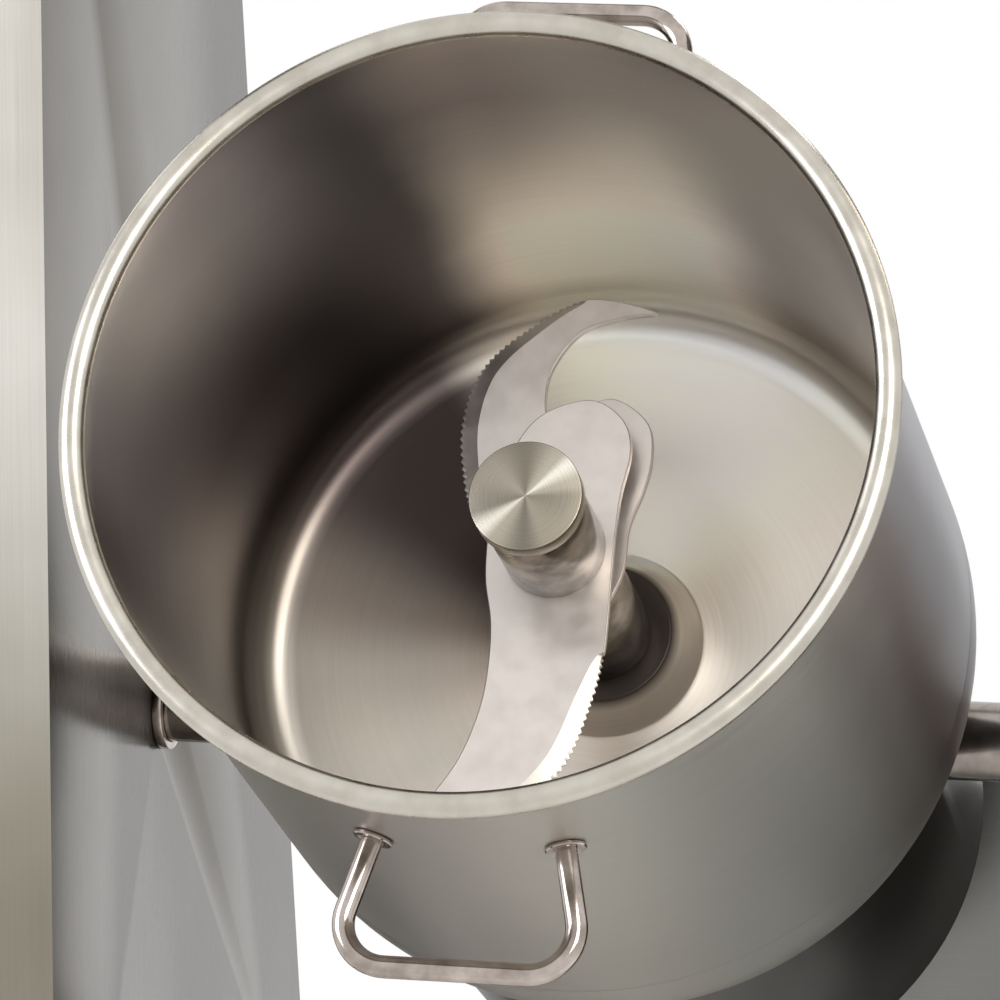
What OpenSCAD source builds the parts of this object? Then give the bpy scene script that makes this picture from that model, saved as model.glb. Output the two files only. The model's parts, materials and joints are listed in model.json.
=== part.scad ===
// Vertical cutter mixer: a tilting steel bowl with its motor below, carried between two columns.
// The origin is on the floor, straight below the trunnion axis. X runs along that axis, the front is -Y.

/* [Bowl] */
// Outer radius of the rolled rim
bowl_rim_r = 230; // [220:1:240]
// Depth from the rim to the inner floor
bowl_depth = 412; // [395:1:430]
// Radius of the rolled bead at the rim
bead_r = 7.2; // [5:0.1:8.5]
// Sheet thickness of the bowl
bowl_wall = 2.5; // [1.5:0.1:3.5]
// Inner radius of the corner between wall and floor
bowl_fillet_r = 28; // [18:1:38]
// Radius of the boss's top in the middle of the floor
boss_top_r = 42; // [38:0.5:48]
// Radius of the boss at the floor
boss_base_r = 57; // [52:0.5:68]
// Height of the boss above the floor
boss_h = 24; // [16:0.5:30]

/* [Bowl handles] */
// Radius of the bent handle rod
handle_rod_r = 6.2; // [4.5:0.1:7.5]
// Half the distance between the feet of a handle
handle_half_span = 53; // [45:1:62]
// Distance of the crossbar's centre line from the bowl wall
handle_reach = 66; // [56:1:75]
// Bend radius of the handle's corners
handle_bend_r = 25; // [18:1:28]
// Distance of the handles below the rim
handle_drop = 110; // [95:1:125]
// How much lower than the front handle the rear one sits
rear_handle_lower = 24; // [0:1:30]
// Radius of the washer at each handle foot
washer_r = 11.5; // [9.5:0.1:13.5]
// Thickness of the washer at each handle foot
washer_t = 2.5; // [1.5:0.1:4]

/* [Trunnions] */
// Height of the trunnion axis above the floor
trunnion_h = 505; // [490:1:540]
// Distance of the trunnion axis below the rim
trunnion_drop = 565; // [560:1:575]
// Outer radius of the trunnion tubes
trunnion_r = 24; // [20:0.5:27]
// Wall of the trunnion tubes
trunnion_wall = 4; // [2.5:0.5:6]
// Radius of the collar ring on each column face
collar_r = 29; // [28:0.5:34]
// Thickness of the collar ring
collar_t = 6; // [4:0.5:9]
// Side of the square bearing blocks inside the columns
bearing_side = 84; // [76:1:96]
// Thickness of the bearing blocks
bearing_t = 30; // [22:1:36]

/* [Motor] */
// Radius of the motor shaft
shaft_r = 19; // [16:0.5:21]
// Outer radius of the motor housing
housing_r = 120; // [112:1:128]
// Wall of the motor housing
housing_wall = 8; // [6:0.5:11]
// Thickness of the plate between bowl and motor
flange_t = 18; // [14:0.5:24]
// Outer radius of that plate
flange_r = 200; // [190:1:204]
// Length of the stator and rotor cores
core_h = 140; // [120:1:150]
// Outer radius of the ball bearings
bearing_r = 36; // [32:0.5:40]
// Outer radius of the shroud round the motor
shroud_r = 180; // [174:1:186]
// Sheet thickness of the shroud
shroud_wall = 2.5; // [1.5:0.1:4]
// Length of the shroud
shroud_h = 226; // [216:1:236]
// Height of the curved skirt between bowl and shroud
skirt_h = 117; // [110:1:122]
// Number of air slots in the shroud's cover
slot_count = 16; // [8:1:20]

/* [Cutter] */
// Radius of the hub cap
cap_r = 32; // [30.5:0.5:36]
// Thickness of the hub cap
cap_t = 12; // [8:0.5:16]
// Distance of the cap's top below the rim
cap_drop = 148; // [140:1:156]
// Radius of the hub sleeves
sleeve_r = 29.5; // [27:0.5:30]
// Height of the dark ring under the cap
ring_t = 4; // [2.5:0.5:6]
// Distance of the upper blade below the rim
blade_drop = 237; // [225:1:250]
// Thickness of a blade
blade_t = 5; // [3.5:0.1:7]
// Gap between the two blades
blade_gap = 14; // [9:0.5:20]
// Radius that the blade tips reach
blade_reach = 175; // [165:1:190]
// Distance between the teeth on a blade's edge
tooth_pitch = 4.2; // [3.4:0.1:6]
// Depth of those teeth
tooth_depth = 1.6; // [0.8:0.1:2]

/* [Columns] */
// Clear width between the two columns
column_gap = 616; // [600:1:640]
// Width of a column
column_w = 105; // [98:1:130]
// Sheet thickness of the columns
column_sheet = 2.5; // [1.5:0.1:4]
// Height of the left column's top above the floor
left_top = 1300; // [1285:1:1340]
// Height of the right column's top above the floor
right_top = 1190; // [1170:1:1230]
// Distance of the column fronts ahead of the trunnion axis
column_front = 250; // [235:1:265]
// Distance of the column rears behind that axis, at its height
column_rear = 282; // [270:1:300]
// Lean of the column rears from upright, in degrees
rear_lean = 11; // [9:0.5:12]
// Height of the column undersides above the floor
foot_h = 60; // [52:1:75]
// Radius of the foot pads
pad_r = 30; // [24:1:36]
// Thickness of the foot pads
pad_t = 14; // [10:0.5:20]
// Radius of the foot studs
stud_r = 8; // [6:0.5:10]
// Height of the beam between the columns
beam_h = 110; // [90:1:130]
// Depth of the beam from front to back
beam_d = 60; // [50:1:80]
// Wall of the beam
beam_wall = 3; // [2:0.5:5]
// Width of the sheet housing that stands on the beam
housing_box_w = 410; // [360:5:430]
// Height of that housing
housing_box_h = 250; // [220:1:265]
// Depth of that housing
housing_box_d = 34; // [24:1:40]

/* [Lid] */
// Distance of the lid's hinge shaft behind the trunnion axis
hinge_y = 278; // [272:1:290]
// Height of the hinge shaft above the closed rim
hinge_rise = 40; // [36:1:46]
// Radius of the hinge shaft
hinge_r = 12.5; // [10:0.5:14]
// Radius of the sleeve on the hinge shaft
hinge_sleeve_r = 20; // [18:0.5:24]
// Half the length of that sleeve
hinge_sleeve_half = 70; // [50:1:90]
// How far the lid stands open, in degrees
lid_open = 100; // [95:1:105]
// Outer radius of the lid
lid_r = 226; // [222:1:232]
// Rise of the lid's dome
lid_rise = 28; // [22:1:30]
// Sheet thickness of the lid
lid_wall = 2.5; // [1.5:0.1:3]
// Thickness of the lid's seal
seal_t = 3.6; // [2.5:0.1:5]
// Width of the lid's seal
seal_w = 14; // [10:0.5:18]
// Width of the arm that carries the lid
arm_w = 44; // [34:1:60]
// Thickness of that arm
arm_t = 12; // [8:0.5:16]

/* [Scraper] */
// Radius of the scraper's shaft
scraper_r = 9; // [7:0.5:11]
// Depth that the scraper reaches below the rim
scraper_drop = 108; // [80:1:115]
// Thickness of the scraper's arms
scraper_t = 8; // [6:0.5:12]
// Radius that the scraper's arms reach
scraper_reach = 205; // [190:1:208]
// Length of the crank on the lid
crank_len = 110; // [90:1:130]

/* [Controls] */
// Width of the control panel
panel_w = 86; // [80:1:90]
// Height of the control panel
panel_h = 196; // [190:1:204]
// Thickness of the control panel
panel_t = 3; // [2:0.5:5]
// Radius of the three small push buttons
button_r = 8.5; // [7:0.5:9]
// Travel of the small push buttons
button_travel = 4; // [3:0.5:5]
// Radius of the emergency stop's head
stop_r = 19; // [16:0.5:22]
// Travel of the emergency stop
stop_travel = 6; // [4:0.5:7]
// Radius of the two knobs
knob_r = 17; // [14:0.5:19]
// Height of a knob in front of the panel
knob_t = 16; // [12:0.5:20]
// Radius of the tilt brake's knob
brake_knob_r = 30; // [24:0.5:36]
// Radius of the tilt brake's screw
brake_screw_r = 7; // [5:0.5:9]

/* [Hidden] */
$fn = 96;

// Tilt of the bowl forward from upright, as photographed
rest_tilt = 60;
// Radial clearance of shafts in their bores
run_fit = 0.05;
// Clearance between moving pieces that don't guide each other
gap = 0.4;
// Small overrun for cuts
cut = 1;
// Clearance of a piece that is set into another of its own body
seat_fit = 0.02;

// Share of the shroud's length that the motor housing fills
housing_end_share = 0.78;
// Radius of the fan against the motor housing
fan_share = 0.85;
// Radius of the lid's crown against the arm's width
crown_share = 1.3;
// Distance between the small buttons against the panel's width
button_pitch_share = 0.31;
// Bore of the stator against the housing's radius
stator_share = 0.6;
// Where the cover's air slots start and how long they are, against the shroud's radius
slot_start_share = 0.32;
slot_len_share = 0.5;
// Radius of the lock rings against the bearing block's side
lock_share = 0.4;
// Half width of a switch body against the distance between buttons
block_share = 0.44;
// Width of the contactor box against the column's
box_share = 0.7;
// Number of vanes on the cooling fan
fan_blades = 8;

// Bowl wall, inside and outside
bowl_in_r = bowl_rim_r - 2 * bead_r;
bowl_out_r = bowl_in_r + bowl_wall;
floor_out = bowl_depth + bowl_wall;
wall_top = bead_r + bowl_wall / 2;
rear_handle_drop = handle_drop + rear_handle_lower;
boss_bore_r = bearing_r - bowl_wall;

// Skirt: straight down from the bowl's corner, then curved in to the shroud
skirt_wall = shroud_wall + bowl_wall / 2;
skirt_top = bowl_depth - bowl_fillet_r;
skirt_bend = floor_out - flange_t;
shroud_top = skirt_bend + skirt_h;
skirt_in = bowl_out_r - shroud_r;
skirt_curve_r = (skirt_in * skirt_in + skirt_h * skirt_h) / (2 * skirt_in);

// Motor, measured down from the rim
flange_end = floor_out + flange_t;
housing_end = shroud_top + shroud_h * housing_end_share;
core_top = flange_end + housing_wall * 5;
shroud_end = shroud_top + shroud_h;
shaft_end = shroud_end - housing_wall * 3;
fan_r = housing_r * fan_share;
socket_end = housing_r + bearing_t;
socket_r = trunnion_r + housing_wall;

// Cutter stack, measured down from the rim
cap_base = cap_drop + cap_t;
ring_base = cap_base + ring_t;
upper_blade_base = blade_drop + blade_t;
lower_blade_top = upper_blade_base + blade_gap;
lower_blade_base = lower_blade_top + blade_t;
boss_top = bowl_depth - boss_h;

// Columns
half_gap = column_gap / 2;
column_out = half_gap + column_w;
axis_to_block = half_gap + column_sheet;
block_end = axis_to_block + bearing_t;
lock_t = bearing_t / 3;
trunnion_end = block_end + gap + lock_t;

// Lid, in its closed place
rim_z = trunnion_h + trunnion_drop;
hinge_z = rim_z + hinge_rise;
lid_base = rim_z + gap + seal_t;
lid_crown = lid_base + lid_rise;
crown_r = arm_w * crown_share;
boss_lid_r = scraper_r * 2;
arm_z = lid_crown;
crank_z = arm_z + arm_t + gap;

// Controls on the left column's front
panel_x = -half_gap - column_w / 2;
panel_z = left_top - panel_h / 2 - column_w / 4;
panel_face = column_front + panel_t;
row_pitch = panel_h / 4;
button_pitch = panel_w * button_pitch_share;
stem_r = button_r / 2;
bezel_t = panel_t * 1.5;
bezel_w = button_r / 3;
block_d = panel_w / 3;
spindle_r = knob_r / 5;
button_cap_t = button_travel + bezel_t;
stop_stem_r = stop_r / 2;

// Brake on the right column's front
brake_x = axis_to_block + bearing_t / 2;
brake_face = column_front + gap;

// Outline of a blade as a smooth closed curve through a few shares of its reach
upper_blade_shares = [
    [0.195, -0.02], [0.200, -0.22], [0.199, -0.345], [0.178, -0.50], [0.112, -0.72],
    [-0.02, -0.87], [-0.21, -0.955], [-0.37, -0.93], [-0.31, -0.85], [-0.235, -0.72],
    [-0.188, -0.56], [-0.175, -0.42], [-0.183, -0.26], [-0.218, -0.10], [-0.222, 0.10],
    [-0.185, 0.30], [-0.10, 0.45], [0.06, 0.515], [0.175, 0.455], [0.216, 0.345], [0.197, 0.18]
];
lower_blade_shares = [
    [-0.243, 0.03], [-0.315, 0.15], [-0.358, 0.26], [-0.387, 0.46], [-0.342, 0.65],
    [-0.212, 0.79], [-0.01, 0.905], [0.228, 0.868], [0.120, 0.845], [-0.014, 0.79],
    [-0.095, 0.67], [-0.110, 0.56], [-0.085, 0.485], [0.02, 0.53], [0.123, 0.56],
    [0.240, 0.48], [0.265, 0.357], [0.250, 0.25], [0.214, 0.12], [0.205, -0.05],
    [0.12, -0.20], [-0.04, -0.235], [-0.19, -0.15]
];
// First and last outline points between which the edge has teeth
upper_teeth = [2, 6];
lower_teeth = [0, 6];

function spline(a, b, c, d, t) =
    0.5 * (2 * b + (c - a) * t + (2 * a - 5 * b + 4 * c - d) * t * t + (3 * b - a - 3 * c + d) * t * t * t);
function spline_slope(a, b, c, d, t) =
    0.5 * ((c - a) + 2 * (2 * a - 5 * b + 4 * c - d) * t + 3 * (3 * b - a - 3 * c + d) * t * t);
function at(list, i) = list[(i + len(list)) % len(list)];
function side(v) = [-v[1], v[0]] / norm(v);
function toothed(range, i) = i >= range[0] && i < range[1];
function steps(p, range, i) =
    toothed(range, i) ? 2 * max(1, round(norm(at(p, i + 1) - at(p, i)) / tooth_pitch)) : 4;
// turn is 1 where the outline runs clockwise, so that teeth cut into the blade
function blade_outline(p, range, turn) = [
    for (i = [0:len(p) - 1])
        let (n = steps(p, range, i))
            for (k = [0:n - 1])
                let (
                    a = at(p, i - 1),
                    b = at(p, i),
                    c = at(p, i + 1),
                    d = at(p, i + 2),
                    notch = toothed(range, i) && k % 2 == 1 ? turn * tooth_depth : 0
                )
                    spline(a, b, c, d, k / n) - notch * side(spline_slope(a, b, c, d, k / n))
];

// Places a child drawn in the bowl's own frame: rim at zero, axis up
module on_bowl() {
    translate([0, 0, trunnion_h])
        rotate([rest_tilt, 0, 0])
            translate([0, 0, trunnion_drop])
                children();
}

// Places a child drawn where the closed lid lies
module on_lid() {
    translate([0, hinge_y, hinge_z])
        rotate([-lid_open, 0, 0])
            translate([0, -hinge_y, -hinge_z])
                children();
}

module ring(outer, inner, height) {
    difference() {
        cylinder(r = outer, h = height);
        translate([0, 0, -cut])
            cylinder(r = inner, h = height + 2 * cut);
    }
}

// Half section of a round block with a rounded lower corner, its top at zero
module corner_section(radius, depth, fillet) {
    translate([0, fillet - depth])
        square([radius, depth - fillet]);
    translate([0, -depth])
        square([radius - fillet, depth]);
    translate([radius - fillet, fillet - depth])
        circle(r = fillet);
}

// The bowl's outer shape, for cutting what fits round it
module bowl_block(fit) {
    rotate_extrude()
        corner_section(bowl_out_r + fit, floor_out + fit, bowl_fillet_r + bowl_wall + fit);
}

// Section of the hollow inside the bowl, round the boss on its floor
module bowl_hollow() {
    difference() {
        translate([0, cut])
            corner_section(bowl_in_r, bowl_depth + cut, bowl_fillet_r);
        polygon([
            [-cut, -boss_top],
            [boss_top_r, -boss_top],
            [boss_base_r, -bowl_depth],
            [boss_base_r, -floor_out],
            [-cut, -floor_out]
        ]);
    }
}

module bowl() {
    color("#b9b4ac")
        on_bowl()
            rotate_extrude()
                difference() {
                    union() {
                        difference() {
                            translate([0, -wall_top])
                                corner_section(bowl_out_r, floor_out - wall_top, bowl_fillet_r + bowl_wall);
                            bowl_hollow();
                        }
                        translate([bowl_rim_r - bead_r, -bead_r])
                            circle(r = bead_r);
                    }
                    translate([0, -floor_out - cut])
                        square([boss_bore_r, floor_out + cut - boss_top - bowl_wall]);
                    translate([0, -floor_out])
                        square([shaft_r + run_fit, floor_out]);
                }
}

module bowl_skirt() {
    color("#a9a59e")
        on_bowl()
            difference() {
                rotate_extrude()
                    difference() {
                        union() {
                            translate([0, -skirt_bend])
                                square([bowl_out_r, skirt_bend - skirt_top]);
                            intersection() {
                                translate([bowl_out_r - skirt_curve_r, -skirt_bend])
                                    circle(r = skirt_curve_r);
                                translate([0, -shroud_top])
                                    square([bowl_rim_r, skirt_h]);
                            }
                        }
                        translate([0, -skirt_bend])
                            square([bowl_out_r - skirt_wall, skirt_bend]);
                        intersection() {
                            translate([bowl_out_r - skirt_curve_r, -skirt_bend])
                                circle(r = skirt_curve_r - skirt_wall);
                            translate([0, -shroud_top - cut])
                                square([bowl_rim_r, skirt_h + cut]);
                        }
                    }
                bowl_block(seat_fit);
            }
}

module motor_flange() {
    color("#8f9295")
        on_bowl()
            translate([0, 0, -flange_end])
                ring(flange_r, bearing_r + seat_fit, flange_t);
}

// Cast housing with its lower end shield and the two sockets for the trunnions
module motor_housing() {
    color("#6d7378")
        on_bowl()
            difference() {
                union() {
                    translate([0, 0, -housing_end])
                        cylinder(r = housing_r, h = housing_end - flange_end);
                    translate([-socket_end, 0, -trunnion_drop])
                        rotate([0, 90, 0])
                            cylinder(r = socket_r, h = 2 * socket_end);
                }
                translate([0, 0, -housing_end + housing_wall * 2])
                    cylinder(r = housing_r - housing_wall, h = housing_end);
                translate([0, 0, -housing_end - cut])
                    cylinder(r = bearing_r + seat_fit, h = 3 * housing_wall);
                translate([-socket_end - cut, 0, -trunnion_drop])
                    rotate([0, 90, 0])
                        cylinder(r = trunnion_r + seat_fit, h = socket_end - housing_r + housing_wall / 2);
                translate([housing_r - housing_wall / 2 + cut, 0, -trunnion_drop])
                    rotate([0, 90, 0])
                        cylinder(r = trunnion_r + seat_fit, h = socket_end);
            }
}

module stator() {
    color("#5a4a3a")
        on_bowl()
            translate([0, 0, -core_top - core_h])
                ring(housing_r - housing_wall - seat_fit, housing_r * stator_share, core_h);
}

module upper_bearing() {
    color("#c9ccd0")
        on_bowl()
            translate([0, 0, -flange_end])
                ring(bearing_r, shaft_r + run_fit, flange_t);
}

module lower_bearing() {
    color("#c9ccd0")
        on_bowl()
            translate([0, 0, -housing_end])
                ring(bearing_r, shaft_r + run_fit, housing_wall * 2);
}

module shaft_seal() {
    color("#2b2b2b")
        on_bowl()
            translate([0, 0, -floor_out])
                ring(boss_bore_r - seat_fit, shaft_r + run_fit, floor_out - boss_top - bowl_wall);
}

module motor_shroud() {
    color("#9b9893")
        on_bowl()
            difference() {
                translate([0, 0, -shroud_end])
                    ring(shroud_r, shroud_r - shroud_wall, shroud_h);
                translate([-shroud_r - cut, 0, -trunnion_drop])
                    rotate([0, 90, 0])
                        cylinder(r = trunnion_r + gap, h = 2 * (shroud_r + cut));
            }
}

module shroud_cover() {
    color("#8b8984")
        on_bowl()
            difference() {
                translate([0, 0, -shroud_end - shroud_wall])
                    cylinder(r = shroud_r, h = shroud_wall);
                for (i = [0:slot_count - 1])
                    rotate([0, 0, i * 360 / slot_count])
                        translate([shroud_r * slot_start_share, -shroud_wall, -shroud_end - shroud_wall - cut])
                            cube([shroud_r * slot_len_share, 2 * shroud_wall, shroud_wall + 2 * cut]);
            }
}

module trunnion_tube() {
    translate([housing_r - housing_wall / 2 + cut, 0, trunnion_h])
        rotate([0, 90, 0])
            ring(trunnion_r, trunnion_r - trunnion_wall, trunnion_end - housing_r + housing_wall / 2 - cut);
}

module left_trunnion() {
    color("#c4beb4")
        mirror([1, 0, 0])
            trunnion_tube();
}

module right_trunnion() {
    color("#c4beb4")
        trunnion_tube();
}

// Rings that keep the trunnions in their bearings, inside the columns
module lock_rings() {
    color("#777b80")
        for (turn = [0, 180])
            translate([0, 0, trunnion_h])
                rotate([0, 90, turn])
                    translate([0, 0, block_end + gap])
                        ring(bearing_side * lock_share, trunnion_r + seat_fit, lock_t);
}

// One bent handle in the bowl's frame, reaching out along +Y
module bent_handle() {
    foot_angle = asin(handle_half_span / bowl_out_r);
    bar_y = bowl_out_r + handle_reach;
    bend_start = (bar_y - handle_bend_r * (1 + sin(foot_angle))) / cos(foot_angle);
    bend_x = bend_start * sin(foot_angle) - handle_bend_r * cos(foot_angle);
    translate([-bend_x, bar_y, 0])
        rotate([0, 90, 0])
            cylinder(r = handle_rod_r, h = 2 * bend_x);
    for (flip = [0, 1])
        mirror([flip, 0, 0]) {
            rotate([0, 0, -foot_angle])
                translate([0, bowl_out_r, 0])
                    rotate([-90, 0, 0])
                        cylinder(r = handle_rod_r, h = bend_start - bowl_out_r);
            translate([bend_x, bar_y - handle_bend_r, 0])
                rotate([0, 0, -foot_angle])
                    rotate_extrude(angle = 90 + foot_angle)
                        translate([handle_bend_r, 0])
                            circle(r = handle_rod_r, $fn = 32);
        }
}

module front_handle() {
    color("#b8ada2")
        on_bowl()
            translate([0, 0, -handle_drop])
                rotate([0, 0, 180])
                    bent_handle();
}

module rear_handle() {
    color("#b8ada2")
        on_bowl()
            translate([0, 0, -rear_handle_drop])
                bent_handle();
}

module handle_washers() {
    foot_angle = asin(handle_half_span / bowl_out_r);
    color("#d2ccc2")
        on_bowl()
            for (turn = [foot_angle, -foot_angle, 180 + foot_angle, 180 - foot_angle])
                translate([0, 0, abs(turn) < 90 ? -rear_handle_drop : -handle_drop])
                    rotate([0, 0, turn])
                        translate([0, bowl_out_r, 0])
                            rotate([-90, 0, 0])
                                ring(washer_r, handle_rod_r + seat_fit, washer_t);
}

module motor_shaft() {
    color("#c8cacc")
        on_bowl()
            translate([0, 0, -shaft_end])
                cylinder(r = shaft_r, h = shaft_end - cap_base);
}

module rotor_core() {
    color("#7d8287")
        on_bowl()
            translate([0, 0, -core_top - core_h])
                ring(housing_r * stator_share - gap, shaft_r + seat_fit, core_h);
}

module cooling_fan() {
    color("#3a3d40")
        on_bowl()
            translate([0, 0, -shaft_end])
                linear_extrude(housing_wall * 2)
                    difference() {
                        union() {
                            circle(r = bearing_r);
                            for (i = [0:fan_blades - 1])
                                rotate((i + 1 / 2) * 360 / fan_blades)
                                    translate([shaft_r * 5 / 4, -housing_wall / 4])
                                        square([fan_r - shaft_r * 5 / 4, housing_wall / 2]);
                        }
                        circle(r = shaft_r + seat_fit);
                    }
}

module hub_cap() {
    color("#a8a595")
        on_bowl()
            translate([0, 0, -cap_base])
                cylinder(r = cap_r, h = cap_t);
}

module cap_ring() {
    color("#2e2c2a")
        on_bowl()
            translate([0, 0, -ring_base])
                ring(sleeve_r - ring_t / 4, shaft_r + seat_fit, ring_t);
}

// A hub sleeve between two depths below the rim
module sleeve(top, base) {
    on_bowl()
        translate([0, 0, -base])
            ring(sleeve_r, shaft_r + seat_fit, base - top);
}

module upper_sleeve() {
    color("#8c867e")
        sleeve(ring_base, blade_drop);
}

module blade_spacer() {
    color("#8c867e")
        sleeve(upper_blade_base, lower_blade_top);
}

module lower_sleeve() {
    color("#5f5a55")
        sleeve(lower_blade_base, boss_top - gap);
}

// A flat blade with its toothed edge, its base at a depth below the rim
module blade(shares, range, turn, base) {
    on_bowl()
        translate([0, 0, -base])
            difference() {
                linear_extrude(height = blade_t)
                    polygon(blade_outline(blade_reach * shares, range, turn));
                translate([0, 0, -cut])
                    cylinder(r = shaft_r + seat_fit, h = blade_t + 2 * cut);
            }
}

module upper_blade() {
    color("#d6d0ca")
        blade(upper_blade_shares, upper_teeth, 1, upper_blade_base);
}

module lower_blade() {
    color("#cbc5be")
        blade(lower_blade_shares, lower_teeth, 1, lower_blade_base);
}

// Side outline of a column, set in from its outer faces by the given distance
function rear_at(z) = column_rear - (z - trunnion_h) * tan(rear_lean);
function column_side(top, inset) = [
    [-column_front + inset, foot_h + inset],
    [rear_at(foot_h + inset) - inset / cos(rear_lean), foot_h + inset],
    [rear_at(top - inset) - inset / cos(rear_lean), top - inset],
    [-column_front + inset, top - inset]
];

// A plate of that outline between two distances from the middle, on the right
module side_plate(top, inset, from, to) {
    translate([from, 0, 0])
        rotate([90, 0, 90])
            linear_extrude(height = to - from)
                polygon(column_side(top, inset));
}

foot_y_front = -column_front + pad_r * 1.5;
foot_y_rear = rear_at(foot_h) - pad_r * 1.8;
beam_y = rear_at(foot_h + beam_h) - beam_d * 1.4;
foot_ys = [foot_y_front, foot_y_rear];
foot_x = half_gap + column_w / 2;

// One folded column on the right, open towards its side cover
module column(top) {
    difference() {
        side_plate(top, 0, half_gap, column_out);
        side_plate(top, column_sheet, half_gap + column_sheet, column_out + cut);
        translate([half_gap - cut, 0, trunnion_h])
            rotate([0, 90, 0])
                cylinder(r = trunnion_r + gap, h = column_sheet + 2 * cut);
        for (y = foot_ys)
            translate([foot_x, y, foot_h - cut])
                cylinder(r = stud_r + gap, h = column_sheet + 2 * cut);
    }
}

// Holes through the left column's front and the panel for what passes through
module control_holes() {
    for (i = [-1, 0, 1])
        translate([panel_x + i * button_pitch, 0, panel_z - row_pitch * 1.5])
            rotate([90, 0, 0])
                cylinder(r = stem_r + gap, h = panel_face + cut);
    for (i = [-0.5, 0.5])
        translate([panel_x, 0, panel_z + row_pitch * i])
            rotate([90, 0, 0])
                cylinder(r = spindle_r + run_fit, h = panel_face + cut);
    translate([panel_x, 0, panel_z + row_pitch * 1.5])
        rotate([90, 0, 0])
            cylinder(r = stop_stem_r + gap, h = panel_face + cut);
}

module left_column() {
    color("#cfcabf")
        difference() {
            mirror([1, 0, 0])
                column(left_top);
            control_holes();
        }
}

module right_column() {
    color("#cfcabf")
        difference() {
            column(right_top);
            translate([brake_x, 0, trunnion_h])
                rotate([90, 0, 0])
                    cylinder(r = brake_screw_r + gap, h = column_front + cut);
        }
}

module left_side_cover() {
    color("#b9b3a8")
        mirror([1, 0, 0])
            side_plate(left_top, 0, column_out, column_out + column_sheet);
}

module right_side_cover() {
    color("#b9b3a8")
        side_plate(right_top, 0, column_out, column_out + column_sheet);
}

module rear_crossbeam() {
    color("#c2bdb2")
        translate([-half_gap, beam_y, foot_h])
            difference() {
                cube([column_gap, beam_d, beam_h]);
                translate([-cut, beam_wall, beam_wall])
                    cube([column_gap + 2 * cut, beam_d - 2 * beam_wall, beam_h - 2 * beam_wall]);
            }
}

// Sheet housing on the beam, beside the right column and behind the motor's swing
module rear_housing() {
    color("#8d8c88")
        translate([half_gap - housing_box_w, beam_y, foot_h + beam_h])
            difference() {
                cube([housing_box_w, housing_box_d, housing_box_h]);
                translate([column_sheet, column_sheet, -cut])
                    cube([
                        housing_box_w - 2 * column_sheet,
                        housing_box_d - 2 * column_sheet,
                        housing_box_h - column_sheet + cut
                    ]);
            }
}

module at_feet() {
    for (x = [-foot_x, foot_x])
        for (y = foot_ys)
            translate([x, y, 0])
                children();
}

module foot_pads() {
    color("#262626")
        at_feet()
            cylinder(r = pad_r, h = pad_t);
}

// Studs with the nut that carries the column
module foot_studs() {
    color("#a9adb0")
        at_feet() {
            translate([0, 0, pad_t])
                cylinder(r = stud_r, h = foot_h - pad_t + stud_r * 3);
            translate([0, 0, foot_h - stud_r])
                cylinder(r = stud_r * 2, h = stud_r, $fn = 6);
        }
}

// Square bearing block on the inside of the right column's inner face
module bearing_block() {
    translate([axis_to_block, 0, trunnion_h])
        difference() {
            translate([0, -bearing_side / 2, -bearing_side / 2])
                cube([bearing_t, bearing_side, bearing_side]);
            translate([-cut, 0, 0])
                rotate([0, 90, 0])
                    cylinder(r = trunnion_r + run_fit, h = bearing_t + 2 * cut);
        }
}

module left_bearing_block() {
    color("#70757a")
        mirror([1, 0, 0])
            bearing_block();
}

// The right block also has the tapped hole of the tilt brake
module right_bearing_block() {
    color("#70757a")
        difference() {
            bearing_block();
            translate([brake_x, 0, trunnion_h])
                rotate([90, 0, 0])
                    cylinder(r = brake_screw_r + run_fit, h = bearing_side);
        }
}

module column_collars() {
    color("#e0dcd2")
        for (turn = [0, 180])
            translate([0, 0, trunnion_h])
                rotate([0, 90, turn])
                    translate([0, 0, half_gap - collar_t])
                        ring(collar_r, trunnion_r + gap, collar_t);
}

module control_panel() {
    color("#55585b")
        difference() {
            translate([panel_x - panel_w / 2, -panel_face, panel_z - panel_h / 2])
                cube([panel_w, panel_t, panel_h]);
            control_holes();
        }
}

module button_bezels() {
    color("#1f2022") {
        for (i = [-1, 0, 1])
            translate([panel_x + i * button_pitch, -panel_face, panel_z - row_pitch * 1.5])
                rotate([90, 0, 0])
                    ring(button_r + gap + bezel_w, button_r + gap, bezel_t);
        translate([panel_x, -panel_face, panel_z + row_pitch * 1.5])
            rotate([90, 0, 0])
                ring(stop_r, stop_stem_r + gap, bezel_t);
    }
}

// Switch and dial bodies on the inside of the left column's front
module switch_blocks() {
    inner = column_front - column_sheet;
    color("#3b4652") {
        for (i = [-1, 0, 1])
            translate([panel_x + i * button_pitch, -inner, panel_z - row_pitch * 1.5])
                difference() {
                    translate([-button_pitch * block_share, 0, -block_d / 2])
                        cube([2 * button_pitch * block_share, block_d, block_d]);
                    rotate([-90, 0, 0])
                        translate([0, 0, -cut])
                            cylinder(r = stem_r + gap, h = block_d);
                }
        for (i = [-0.5, 0.5])
            translate([panel_x, -inner, panel_z + row_pitch * i])
                difference() {
                    translate([-block_d / 2, 0, -block_d / 2])
                        cube(block_d);
                    rotate([-90, 0, 0])
                        translate([0, 0, -cut])
                            cylinder(r = spindle_r + run_fit, h = block_d);
                }
        translate([panel_x, -inner, panel_z + row_pitch * 1.5])
            difference() {
                translate([-block_d / 2, 0, -block_d / 2])
                    cube([block_d, block_d, block_d]);
                rotate([-90, 0, 0])
                    translate([0, 0, -cut])
                        cylinder(r = stop_stem_r + gap, h = block_d);
            }
    }
}

module contactor_box() {
    color("#8a9096")
        translate([-axis_to_block - column_w * box_share, -column_front / 2, foot_h + column_sheet + pad_r])
            cube([column_w * box_share, column_front, column_front]);
}

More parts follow.
